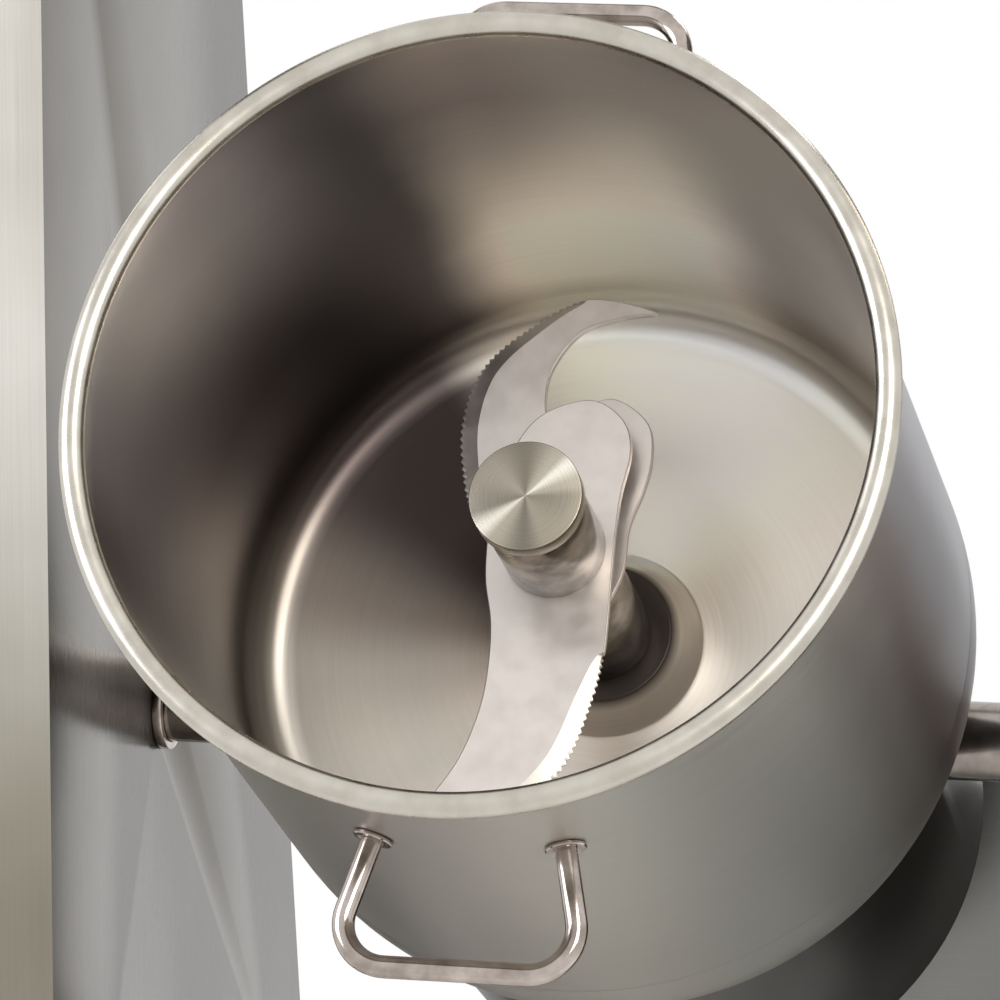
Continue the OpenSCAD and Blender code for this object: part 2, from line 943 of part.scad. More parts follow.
module cable_gland() {
    color("#2d2f31")
        translate([-column_out - column_sheet, column_rear / 2, foot_h + pad_r * 2])
            rotate([0, -90, 0])
                difference() {
                    union() {
                        cylinder(r = pad_r / 2, h = pad_r / 4, $fn = 6);
                        cylinder(r = pad_r / 2.6, h = pad_r * 0.7);
                    }
                    translate([0, 0, pad_r / 4])
                        cylinder(r = pad_r / 6, h = pad_r);
                }
}

bracket_t = hinge_r * 0.8;
bracket_half = hinge_sleeve_r * 1.3;
bracket_front = rear_at(hinge_z) - bracket_half * 3;

module lid_brackets() {
    color("#aaa69d")
        for (flip = [0, 1])
            mirror([flip, 0, 0])
                translate([half_gap - bracket_t, 0, hinge_z])
                    difference() {
                        union() {
                            translate([0, bracket_front, -bracket_half])
                                cube([bracket_t, hinge_y - bracket_front, 2 * bracket_half]);
                            translate([0, hinge_y, 0])
                                rotate([0, 90, 0])
                                    cylinder(r = bracket_half, h = bracket_t);
                        }
                        translate([-cut, hinge_y, 0])
                            rotate([0, 90, 0])
                                cylinder(r = hinge_r + seat_fit, h = bracket_t + 2 * cut);
                    }
}

module lid_shaft() {
    color("#c8cacc")
        translate([-half_gap, hinge_y, hinge_z])
            rotate([0, 90, 0])
                cylinder(r = hinge_r, h = column_gap);
}

screw_r = 5;
screw_t = 2.6;

// Button-head screws: six on each side cover, four on the panel, two on each lid bracket
module cover_screws() {
    edge = pad_r / 1.5;
    color("#d8d4cb") {
        for (cover = [[-1, left_top], [1, right_top]])
            for (z = [foot_h + edge, (foot_h + cover[1]) / 2, cover[1] - edge])
                for (y = [-column_front + edge, rear_at(z) - edge])
                    translate([cover[0] * (column_out + column_sheet), y, z])
                        rotate([0, cover[0] * 90, 0])
                            cylinder(r = screw_r, h = screw_t);
        for (x = [-1, 1])
            for (z = [-1, 1])
                translate([
                    panel_x + x * (panel_w / 2 - screw_r * 1.4),
                    -panel_face,
                    panel_z + z * (panel_h / 2 - screw_r * 1.4)
                ])
                    rotate([90, 0, 0])
                        cylinder(r = screw_r * 0.7, h = screw_t * 0.8);
        for (x = [-1, 1])
            for (y = [1, 2])
                translate([x * (half_gap - bracket_t), bracket_front + y * bracket_half * 0.9, hinge_z])
                    rotate([0, -x * 90, 0])
                        cylinder(r = screw_r, h = screw_t);
    }
}

module lid_arm() {
    color("#b4afa5")
        on_lid()
            difference() {
                union() {
                    translate([-hinge_sleeve_half, hinge_y, hinge_z])
                        rotate([0, 90, 0])
                            cylinder(r = hinge_sleeve_r, h = 2 * hinge_sleeve_half);
                    translate([-arm_w / 2, 0, arm_z])
                        cube([arm_w, hinge_y, arm_t]);
                    translate([0, 0, arm_z])
                        cylinder(r = crown_r * 0.8, h = arm_t);
                }
                translate([-hinge_sleeve_half - cut, hinge_y, hinge_z])
                    rotate([0, 90, 0])
                        cylinder(r = hinge_r + run_fit, h = 2 * (hinge_sleeve_half + cut));
                translate([0, 0, arm_z - cut])
                    cylinder(r = scraper_r + run_fit, h = arm_t + 2 * cut);
            }
}

// Section of the lid's dome: a flat rim, a sloped shoulder and a flat crown
module lid_section(drop) {
    polygon([
        [0, -cut],
        [lid_r - seal_w, -cut],
        [lid_r - seal_w, 0],
        [lid_r - seal_w - lid_rise * 2, lid_rise - drop],
        [0, lid_rise - drop]
    ]);
}

module lid() {
    color("#cdc9c0")
        on_lid()
            translate([0, 0, lid_base])
                rotate_extrude()
                    difference() {
                        union() {
                            square([lid_r, lid_wall]);
                            polygon([
                                [0, 0],
                                [lid_r - seal_w + lid_wall, 0],
                                [lid_r - seal_w + lid_wall, lid_wall],
                                [lid_r - seal_w - lid_rise * 2, lid_rise],
                                [0, lid_rise]
                            ]);
                        }
                        lid_section(lid_wall);
                        translate([0, -cut])
                            square([scraper_r + run_fit, lid_rise + 2 * cut]);
                    }
}

module lid_seal() {
    color("#3c3c3c")
        on_lid()
            translate([0, 0, lid_base - seal_t])
                ring(lid_r, lid_r - seal_w, seal_t);
}

// Bent rod at the lid's front
module lid_handle() {
    post_x = arm_w;
    post_y = -(lid_r - seal_w - lid_rise * 2) + handle_rod_r * 2;
    color("#b8ada2")
        on_lid()
            translate([0, post_y, lid_crown]) {
                for (x = [-post_x, post_x])
                    translate([x, 0, 0])
                        cylinder(r = handle_rod_r, h = handle_reach * 0.6);
                translate([-post_x, 0, handle_reach * 0.6])
                    rotate([0, 90, 0])
                        cylinder(r = handle_rod_r, h = 2 * post_x);
                for (x = [-post_x, post_x])
                    translate([x, 0, handle_reach * 0.6])
                        sphere(r = handle_rod_r, $fn = 48);
            }
}

scraper_base = rim_z - scraper_drop;

module scraper_shaft() {
    color("#c8cacc")
        on_lid()
            translate([0, 0, scraper_base])
                cylinder(r = scraper_r, h = crank_z + scraper_t * 2 - scraper_base);
}

// Cross bar with an upright wiper at each end
module scraper_arms() {
    wiper_w = scraper_t * 2;
    wiper_h = lid_base - gap * 4 - scraper_base;
    color("#e9e6df")
        on_lid()
            difference() {
                union() {
                    translate([-scraper_reach + scraper_t, -scraper_t / 2, scraper_base])
                        cube([2 * (scraper_reach - scraper_t), scraper_t, wiper_w]);
                    for (x = [-scraper_reach, scraper_reach - scraper_t])
                        translate([x, -wiper_w / 2, scraper_base])
                            cube([scraper_t, wiper_w, wiper_h]);
                    translate([0, 0, scraper_base])
                        cylinder(r = scraper_r * 1.8, h = wiper_w);
                }
                translate([0, 0, scraper_base - cut])
                    cylinder(r = scraper_r + seat_fit, h = wiper_h);
            }
}

module scraper_crank() {
    knob_h = knob_t * 2.4;
    color("#2a2a2a")
        on_lid()
            difference() {
                union() {
                    translate([0, -scraper_r, crank_z])
                        cube([crank_len, 2 * scraper_r, scraper_t]);
                    translate([0, 0, crank_z])
                        cylinder(r = scraper_r * 1.8, h = scraper_t);
                    translate([crank_len, 0, crank_z])
                        cylinder(r = scraper_r * 1.2, h = knob_h);
                }
                translate([0, 0, crank_z - cut])
                    cylinder(r = scraper_r + seat_fit, h = knob_h);
            }
}

// A round push button with its stem, pressed along +Y
module push_button(x, z, head_r, head_t, lift, rod_r) {
    reach = panel_t + column_sheet + block_d / 4;
    translate([x, -panel_face - lift, z])
        rotate([90, 0, 0])
            cylinder(r = head_r, h = head_t);
    translate([x, -panel_face - lift, z])
        rotate([-90, 0, 0])
            cylinder(r = rod_r, h = lift + reach);
}

module small_button(i) {
    push_button(
        panel_x + i * button_pitch,
        panel_z - row_pitch * 1.5,
        button_r,
        button_cap_t,
        button_travel + gap,
        stem_r
    );
}

module start_button() {
    color("#2e8b45")
        small_button(-1);
}

module stop_button() {
    color("#c0271f")
        small_button(0);
}

module pulse_button() {
    color("#e8e4da")
        small_button(1);
}

module emergency_stop() {
    color("#c0271f")
        push_button(
            panel_x,
            panel_z + row_pitch * 1.5,
            stop_r,
            stop_r * 0.6,
            bezel_t + stop_travel + gap,
            stop_stem_r
        );
}

// A ribbed dial with a pointer on its face and a spindle behind
module dial(z) {
    translate([panel_x, -panel_face - gap, z]) {
        rotate([90, 0, 0])
            cylinder(r = knob_r, h = knob_t);
        translate([-knob_r * 0.12, -knob_t - knob_r * 0.2, 0])
            cube([knob_r * 0.24, knob_r * 0.2 + gap, knob_r * 0.9]);
        rotate([-90, 0, 0])
            cylinder(r = spindle_r, h = gap + panel_t + column_sheet + block_d / 2);
    }
}

module speed_knob() {
    color("#1d1e20")
        dial(panel_z + row_pitch * 0.5);
}

module timer_knob() {
    color("#1d1e20")
        dial(panel_z - row_pitch * 0.5);
}

module brake_screw() {
    color("#b5b8bb")
        translate([brake_x, -trunnion_r - run_fit - gap, trunnion_h])
            rotate([90, 0, 0])
                cylinder(r = brake_screw_r, h = brake_face + brake_knob_r / 2 - trunnion_r - run_fit - gap);
}

module brake_knob() {
    lobe_r = brake_knob_r / 3.2;
    color("#202124")
        translate([brake_x, -brake_face, trunnion_h])
            rotate([90, 0, 0])
                difference() {
                    union() {
                        cylinder(r = brake_knob_r * 0.72, h = brake_knob_r * 0.8);
                        for (i = [0:5])
                            rotate([0, 0, i * 60])
                                translate([brake_knob_r - lobe_r, 0, 0])
                                    cylinder(r = lobe_r, h = brake_knob_r * 0.8);
                    }
                    translate([0, 0, -cut])
                        cylinder(r = brake_screw_r + seat_fit, h = brake_knob_r / 2 + cut + seat_fit);
                }
}

left_column();
left_side_cover();
right_column();
right_side_cover();
rear_crossbeam();
rear_housing();
foot_pads();
foot_studs();
left_bearing_block();
right_bearing_block();
column_collars();
control_panel();
button_bezels();
switch_blocks();
contactor_box();
cable_gland();
lid_brackets();
lid_shaft();
cover_screws();
bowl();
bowl_skirt();
motor_flange();
motor_housing();
stator();
upper_bearing();
lower_bearing();
shaft_seal();
motor_shroud();
shroud_cover();
left_trunnion();
right_trunnion();
lock_rings();
front_handle();
rear_handle();
handle_washers();
motor_shaft();
rotor_core();
cooling_fan();
hub_cap();
cap_ring();
upper_sleeve();
upper_blade();
blade_spacer();
lower_blade();
lower_sleeve();
lid_arm();
lid();
lid_seal();
lid_handle();
scraper_shaft();
scraper_arms();
scraper_crank();
start_button();
stop_button();
pulse_button();
emergency_stop();
speed_knob();
timer_knob();
brake_screw();
brake_knob();
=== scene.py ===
import json
import math

import bmesh
import bpy
from mathutils import Matrix, Vector
from mathutils.geometry import tessellate_polygon


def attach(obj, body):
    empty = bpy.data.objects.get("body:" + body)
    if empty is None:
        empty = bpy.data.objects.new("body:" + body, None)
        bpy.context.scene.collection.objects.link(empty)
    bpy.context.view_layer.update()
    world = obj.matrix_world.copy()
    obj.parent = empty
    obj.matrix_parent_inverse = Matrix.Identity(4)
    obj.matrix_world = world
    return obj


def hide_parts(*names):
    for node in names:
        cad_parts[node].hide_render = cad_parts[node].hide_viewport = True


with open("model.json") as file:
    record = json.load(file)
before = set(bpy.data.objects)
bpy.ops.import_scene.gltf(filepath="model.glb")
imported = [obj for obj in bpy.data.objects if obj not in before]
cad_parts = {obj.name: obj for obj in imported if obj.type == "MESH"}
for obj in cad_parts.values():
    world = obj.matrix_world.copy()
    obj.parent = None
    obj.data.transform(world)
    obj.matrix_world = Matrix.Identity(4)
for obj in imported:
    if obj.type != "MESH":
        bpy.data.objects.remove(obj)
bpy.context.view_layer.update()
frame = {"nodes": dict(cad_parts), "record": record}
scene = bpy.context.scene
print("frame loaded")

mm = 0.001

# The bowl's place and main sizes, as in the CAD
bowlLayout = {
    "tilt": math.radians(60),  # forward tilt at rest
    "trunnion": Vector((0, 0, 0.505)),  # middle of the trunnions' axis, above the floor
    "drop": 565 * mm,  # rim above that axis
    "rimRadius": 230 * mm,
    "depth": 412 * mm,
    "beadRadius": 7.2 * mm,
    "wall": 2.5 * mm,
    "fillet": 28 * mm,
}
bowlTurn = Matrix.Rotation(bowlLayout["tilt"], 4, "X")
bowlPlace = (
    Matrix.Translation(bowlLayout["trunnion"]) @ bowlTurn @ Matrix.Translation((0, 0, bowlLayout["drop"]))
)
rimCentre = bowlPlace @ Vector((0, 0, 0))
innerRadius = bowlLayout["rimRadius"] - 2 * bowlLayout["beadRadius"]
outerRadius = innerRadius + bowlLayout["wall"]


# Colours are written as sRGB hex and turned to linear here
def hexColour(code):
    parts = [int(code[i:i + 2], 16) / 255 for i in (1, 3, 5)]
    linear = [c / 12.92 if c <= 0.04045 else ((c + 0.055) / 1.055) ** 2.4 for c in parts]
    return (*linear, 1.0)


# Adds one node with its settings and links: inputs by name or number, and a ramp's stops as (degrees, hex)
def addNode(tree, kind, settings=None, inputs=None, links=None, stops=None):
    made = tree.nodes.new(kind)
    for key, value in (settings or {}).items():
        setattr(made, key, value)
    for key, value in (inputs or {}).items():
        made.inputs[key].default_value = value
    for key, socket in (links or {}).items():
        tree.links.new(socket, made.inputs[key])
    if stops:
        made.color_ramp.interpolation = "EASE"
        marks = made.color_ramp.elements
        while len(marks) < len(stops):
            marks.new(0.5)
        for mark, (degrees, tone) in zip(marks, stops):
            mark.position = degrees / 360
            mark.color = hexColour(tone)
    return made


def startMaterial(name):
    material = bpy.data.materials.new(name)
    material.use_nodes = True
    tree = material.node_tree
    coords = addNode(tree, "ShaderNodeTexCoord")
    return material, tree, tree.nodes["Principled BSDF"], coords.outputs["Object"]


# Colour and roughness from patterns: a dark to a light tone, and a low to a high roughness
def shadeBy(tree, shader, tone, dark, light, gloss, rough, low=0.35, high=0.65):
    share = addNode(tree, "ShaderNodeMapRange", inputs={1: low, 2: high}, links={0: tone})
    colour = addNode(
        tree, "ShaderNodeMix", {"data_type": "RGBA"}, {6: hexColour(dark), 7: hexColour(light)},
        {0: share.outputs[0]},
    )
    tree.links.new(colour.outputs[2], shader.inputs["Base Color"])
    spread = addNode(tree, "ShaderNodeMapRange", inputs={3: rough[0], 4: rough[1]}, links={0: gloss})
    tree.links.new(spread.outputs[0], shader.inputs["Roughness"])


# The bowl's own frame, rim at zero and axis up: a point, its parts, its radius, and its angle from +X as a
# share of a full turn
def bowlCoords(tree, coords):
    local = addNode(
        tree, "ShaderNodeMapping", {"vector_type": "TEXTURE"},
        {"Location": rimCentre, "Rotation": (bowlLayout["tilt"], 0, 0)}, {"Vector": coords},
    )
    parts = addNode(tree, "ShaderNodeSeparateXYZ", links={0: local.outputs[0]}).outputs
    flat = addNode(tree, "ShaderNodeCombineXYZ", links={0: parts[0], 1: parts[1]})
    radius = addNode(tree, "ShaderNodeVectorMath", {"operation": "LENGTH"}, links={0: flat.outputs[0]})
    back = addNode(tree, "ShaderNodeMath", {"operation": "MULTIPLY"}, {1: -1.0}, {0: parts[1]})
    front = addNode(tree, "ShaderNodeMath", {"operation": "MULTIPLY"}, {1: -1.0}, {0: parts[0]})
    turn = addNode(
        tree, "ShaderNodeMath", {"operation": "ARCTAN2"}, links={0: back.outputs[0], 1: front.outputs[0]}
    )
    share = addNode(
        tree, "ShaderNodeMath", {"operation": "MULTIPLY_ADD"}, {1: 0.5 / math.pi, 2: 0.5},
        {0: turn.outputs[0]},
    )
    return local.outputs[0], parts, radius.outputs["Value"], share.outputs[0]


# Wheels of painted reflection and shade: light and dark wedges round the axis, painted into the steel's colour
# Each stop is the angle from +X in degrees, and the tone there
# painted reflection and shade for the bowl's wall, floor and outside, by angle round its axis
bowlPaintedReflections = {
    "shallow": [
        (0, "#9c9a96"), (40, "#7c756f"), (62, "#7c766f"), (84, "#8d877f"), (102, "#7b736d"),
        (122, "#332f2f"), (142, "#5a5455"), (165, "#787573"), (185, "#716e70"), (203, "#464141"),
        (225, "#8f8a83"), (290, "#b4aea6"), (360, "#9c9a96"),
    ],
    "deep": [
        (0, "#b5b0a8"), (40, "#a49c94"), (60, "#7d766e"), (78, "#c9c1b8"), (104, "#c8c0b5"),
        (120, "#4e4847"), (140, "#2b2828"), (160, "#37312f"), (180, "#544e4a"), (200, "#3c3632"),
        (225, "#98928b"), (290, "#bdb7ae"), (360, "#b5b0a8"),
    ],
    "floor": [
        (0, "#b4aea5"), (30, "#c2bcb2"), (75, "#d2cdc4"), (112, "#c6bfb5"), (128, "#4a4240"),
        (150, "#463e3c"), (172, "#6b655f"), (190, "#85817b"), (215, "#95928b"), (245, "#b5afa8"),
        (300, "#a39d95"), (360, "#b4aea5"),
    ],
    "outside": [
        (0, "#858489"), (12, "#a3a2a8"), (90, "#9b9892"), (200, "#8b8781"), (240, "#85817a"),
        (262, "#85807a"), (282, "#9a968e"), (300, "#97968f"), (322, "#a3a29d"), (336, "#8c8782"),
        (346, "#736a67"), (360, "#858489"),
    ],
}
# painted highlights on the hub cap: bright wedges of its turned face, by angle round the axis
capPaintedHighlights = [
    (0, "#8f887b"), (20, "#b5ad9e"), (42, "#f1ece0"), (55, "#b9b1a2"), (95, "#857e72"), (140, "#a59d8f"),
    (200, "#8a8377"), (222, "#e6dfd2"), (238, "#b0a899"), (275, "#7f786d"), (300, "#a09889"),
    (360, "#8f887b"),
]

# Spun stainless steel, brushed round its axis: fine rings, streaked gloss and painted wedges of reflection
spunLook = {
    "ringStep": 1.6 * mm,  # real brushing is finer: this is as coarse as the render needs
    "ringChange": 9.0,  # change along a ring, per metre
    "cloudScale": 9.0,
    "stray": 0.012,  # how far clouds move the painted reflection wedges, as a share of a turn
    "deepSpan": (-90 * mm, -270 * mm),  # heights between which each next wheel takes over
    "floorSpan": (-388 * mm, -409 * mm),
    "bossSpan": (46 * mm, 41.5 * mm),
    "bossTone": "#35302d",  # the boss's flat top lies in the hub's shade and looks nearly black
    "streak": 0.12,
    "roughSpread": (-0.05, 0.07),
    "bump": 0.1,
    "bumpDepth": 0.15 * mm,
    "metallic": 0.8,
    "anisotropic": 0.5,
}


def spunSteel(name, wheels, rough, lightness):
    look = spunLook
    material, tree, shader, coords = startMaterial(name)
    local, parts, radius, share = bowlCoords(tree, coords)
    along = addNode(tree, "ShaderNodeMath", {"operation": "SUBTRACT"}, links={0: radius, 1: parts[2]})
    packed = addNode(tree, "ShaderNodeCombineXYZ", links={0: parts[0], 1: parts[1], 2: along.outputs[0]})
    fine = addNode(
        tree, "ShaderNodeMapping",
        inputs={"Scale": (look["ringChange"], look["ringChange"], 1 / look["ringStep"])},
        links={"Vector": packed.outputs[0]},
    )
    rings = addNode(
        tree, "ShaderNodeTexNoise", inputs={"Scale": 1.0, "Detail": 3.0, "Roughness": 0.6},
        links={"Vector": fine.outputs[0]},
    )
    cloud = addNode(
        tree, "ShaderNodeTexNoise", inputs={"Scale": look["cloudScale"], "Detail": 2.0, "Roughness": 0.5},
        links={"Vector": local},
    )
    stray = addNode(
        tree, "ShaderNodeMapRange", inputs={3: -look["stray"], 4: look["stray"]}, links={0: cloud.outputs[0]}
    )
    angle = addNode(tree, "ShaderNodeMath", {"operation": "ADD"}, links={0: share, 1: stray.outputs[0]})
    # the painted reflection wheels, blended from wall to floor by depth
    tones = [
        addNode(tree, "ShaderNodeValToRGB", links={0: angle.outputs[0]}, stops=bowlPaintedReflections[wheel]).outputs[0]
        for wheel in wheels
    ]
    tone = tones[0]
    for below, span in zip(tones[1:], (look["deepSpan"], look["floorSpan"])):
        sunk = addNode(tree, "ShaderNodeMapRange", inputs={1: span[0], 2: span[1]}, links={0: parts[2]})
        mixed = addNode(
            tree, "ShaderNodeMix", {"data_type": "RGBA"}, links={0: sunk.outputs[0], 6: tone, 7: below}
        )
        tone = mixed.outputs[2]
    if len(tones) > 1:
        boss = addNode(
            tree, "ShaderNodeMapRange", inputs={1: look["bossSpan"][0], 2: look["bossSpan"][1]},
            links={0: radius},
        )
        shaded = addNode(
            tree, "ShaderNodeMix", {"data_type": "RGBA"}, {7: hexColour(look["bossTone"])},
            {0: boss.outputs[0], 6: tone},
        )
        tone = shaded.outputs[2]
    streak = addNode(
        tree, "ShaderNodeMapRange",
        inputs={3: (1 - look["streak"]) * lightness, 4: (1 + look["streak"]) * lightness},
        links={0: rings.outputs[0]},
    )
    shade = addNode(
        tree, "ShaderNodeVectorMath", {"operation": "SCALE"}, links={0: tone, "Scale": streak.outputs[0]}
    )
    tree.links.new(shade.outputs[0], shader.inputs["Base Color"])
    gloss = addNode(
        tree, "ShaderNodeMapRange",
        inputs={3: rough + look["roughSpread"][0], 4: rough + look["roughSpread"][1]},
        links={0: rings.outputs[0]},
    )
    tree.links.new(gloss.outputs[0], shader.inputs["Roughness"])
    lift = addNode(
        tree, "ShaderNodeBump", inputs={"Strength": look["bump"], "Distance": look["bumpDepth"]},
        links={"Height": rings.outputs[0]},
    )
    tree.links.new(lift.outputs[0], shader.inputs["Normal"])
    # the highlight stretches across the rings, so the tangent runs round the axis
    axis = bowlTurn @ Vector((0, 0, 1))
    offset = addNode(tree, "ShaderNodeVectorMath", {"operation": "SUBTRACT"}, {1: rimCentre}, {0: coords})
    around = addNode(
        tree, "ShaderNodeVectorMath", {"operation": "CROSS_PRODUCT"}, {0: axis}, {1: offset.outputs[0]}
    )
    world = addNode(
        tree, "ShaderNodeVectorTransform",
        {"vector_type": "VECTOR", "convert_from": "OBJECT", "convert_to": "WORLD"},
        links={0: around.outputs[0]},
    )
    unit = addNode(tree, "ShaderNodeVectorMath", {"operation": "NORMALIZE"}, links={0: world.outputs[0]})
    tree.links.new(unit.outputs[0], shader.inputs["Tangent"])
    shader.inputs["Metallic"].default_value = look["metallic"]
    shader.inputs["Anisotropic"].default_value = look["anisotropic"]
    return material


# Brushed stainless sheet: long grain one way, slight blotches from handling, and painted shade low down
sheetLook = {
    "grain": 0.9 * mm,
    "grainChange": 6.0,  # change along the grain, per metre
    "cloudScale": 5.0,
    "lineShare": 0.4,
    "toneSpan": (0.45, 0.95),
    "lowSpan": (0.72, 0.45),  # heights above the floor between which the painted shade deepens
    "roughSpread": (-0.05, 0.08),
    "bump": 0.1,
    "bumpDepth": 0.12 * mm,
}


def brushedSheet(name, dark, light, rough, grainAxis, grain=sheetLook["grain"], paintedLowShade=None):
    look = sheetLook
    material, tree, shader, coords = startMaterial(name)
    stretch = [1 / grain] * 3
    stretch[grainAxis] = look["grainChange"]
    fine = addNode(tree, "ShaderNodeMapping", inputs={"Scale": stretch}, links={"Vector": coords})
    lines = addNode(
        tree, "ShaderNodeTexNoise", inputs={"Scale": 1.0, "Detail": 4.0, "Roughness": 0.65},
        links={"Vector": fine.outputs[0]},
    )
    cloud = addNode(
        tree, "ShaderNodeTexNoise", inputs={"Scale": look["cloudScale"], "Detail": 3.0, "Roughness": 0.55},
        links={"Vector": coords},
    )
    mixed = addNode(
        tree, "ShaderNodeMath", {"operation": "MULTIPLY_ADD"}, {1: look["lineShare"]},
        {0: lines.outputs[0], 2: cloud.outputs[0]},
    )
    gloss = [rough + part for part in look["roughSpread"]]
    shadeBy(tree, shader, mixed.outputs[0], dark, light, lines.outputs[0], gloss, *look["toneSpan"])
    # painted shade: the colour darkens towards the floor
    if paintedLowShade:
        height = addNode(tree, "ShaderNodeSeparateXYZ", links={0: coords})
        rise = addNode(
            tree, "ShaderNodeMapRange", {"interpolation_type": "SMOOTHSTEP"},
            {1: look["lowSpan"][0], 2: look["lowSpan"][1]}, {0: height.outputs[2]},
        )
        lower = addNode(
            tree, "ShaderNodeMix", {"data_type": "RGBA", "blend_type": "MULTIPLY"}, {7: hexColour(paintedLowShade)},
            {0: rise.outputs[0], 6: shader.inputs["Base Color"].links[0].from_socket},
        )
        tree.links.new(lower.outputs[2], shader.inputs["Base Color"])
    lift = addNode(
        tree, "ShaderNodeBump", inputs={"Strength": look["bump"], "Distance": look["bumpDepth"]},
        links={"Height": lines.outputs[0]},
    )
    tree.links.new(lift.outputs[0], shader.inputs["Normal"])
    shader.inputs["Metallic"].default_value = 1.0
    return material


# Polished or satin metal: near mirror with faint smears
polishedLook = {
    "smearScale": 60.0,
    "roughShares": (0.7, 1.4),
}


def polishedMetal(name, dark, light, rough):
    material, tree, shader, coords = startMaterial(name)
    smear = addNode(
        tree, "ShaderNodeTexNoise",
        inputs={"Scale": polishedLook["smearScale"], "Detail": 3.0, "Roughness": 0.5}, links={"Vector": coords},
    )
    gloss = [rough * part for part in polishedLook["roughShares"]]
    shadeBy(tree, shader, smear.outputs[0], dark, light, smear.outputs[0], gloss)
    shader.inputs["Metallic"].default_value = 1.0
    return material


# Lathe-turned face: fine tool rings round the hub, and light and dark wedges of painted highlight round it
turnedLook = {
    "ringStep": 0.9 * mm,
    "fanSpan": (60 * mm, 50 * mm),  # radii between which the painted highlight fan fades in
    "streakSpan": (0.92, 1.1),
    "roughSpread": (-0.05, 0.08),
}


def turnedSteel(name, light, rough):
    look = turnedLook
    material, tree, shader, coords = startMaterial(name)
    radius, share = bowlCoords(tree, coords)[2:]
    rings = addNode(
        tree, "ShaderNodeTexNoise", {"noise_dimensions": "1D"},
        {"Scale": 1 / look["ringStep"], "Detail": 2.0}, {"W": radius},
    )
    # the fan of painted highlights
    fan = addNode(tree, "ShaderNodeValToRGB", links={0: share}, stops=capPaintedHighlights)
    inFan = addNode(
        tree, "ShaderNodeMapRange", inputs={1: look["fanSpan"][0], 2: look["fanSpan"][1]}, links={0: radius}
    )
    tone = addNode(
        tree, "ShaderNodeMix", {"data_type": "RGBA"}, {6: hexColour(light)},
        {0: inFan.outputs[0], 7: fan.outputs[0]},
    )
    streak = addNode(
        tree, "ShaderNodeMapRange", inputs={3: look["streakSpan"][0], 4: look["streakSpan"][1]},
        links={0: rings.outputs[0]},
    )
    shade = addNode(
        tree, "ShaderNodeVectorMath", {"operation": "SCALE"},
        links={0: tone.outputs[2], "Scale": streak.outputs[0]},
    )
    tree.links.new(shade.outputs[0], shader.inputs["Base Color"])
    gloss = addNode(
        tree, "ShaderNodeMapRange",
        inputs={3: rough + look["roughSpread"][0], 4: rough + look["roughSpread"][1]},
        links={0: rings.outputs[0]},
    )
    tree.links.new(gloss.outputs[0], shader.inputs["Roughness"])
    shader.inputs["Metallic"].default_value = 1.0
    return material


# Moulded plastic, rubber or paint: fine grain in the skin, little colour change
mouldedLook = {
    "grain": 0.6 * mm,
    "bump": 0.15,
    "bumpDepth": 0.1 * mm,
    "roughSpread": (-0.06, 0.08),
}


def mouldedSkin(name, dark, light, rough, grain=mouldedLook["grain"], bump=mouldedLook["bump"]):
    material, tree, shader, coords = startMaterial(name)
    skin = addNode(
        tree, "ShaderNodeTexNoise", inputs={"Scale": 1 / grain / 2, "Detail": 2.0}, links={"Vector": coords}
    )
    gloss = [rough + part for part in mouldedLook["roughSpread"]]
    shadeBy(tree, shader, skin.outputs[0], dark, light, skin.outputs[0], gloss)
    lift = addNode(
        tree, "ShaderNodeBump", inputs={"Strength": bump, "Distance": mouldedLook["bumpDepth"]},
        links={"Height": skin.outputs[0]},
    )
    tree.links.new(lift.outputs[0], shader.inputs["Normal"])
    return material


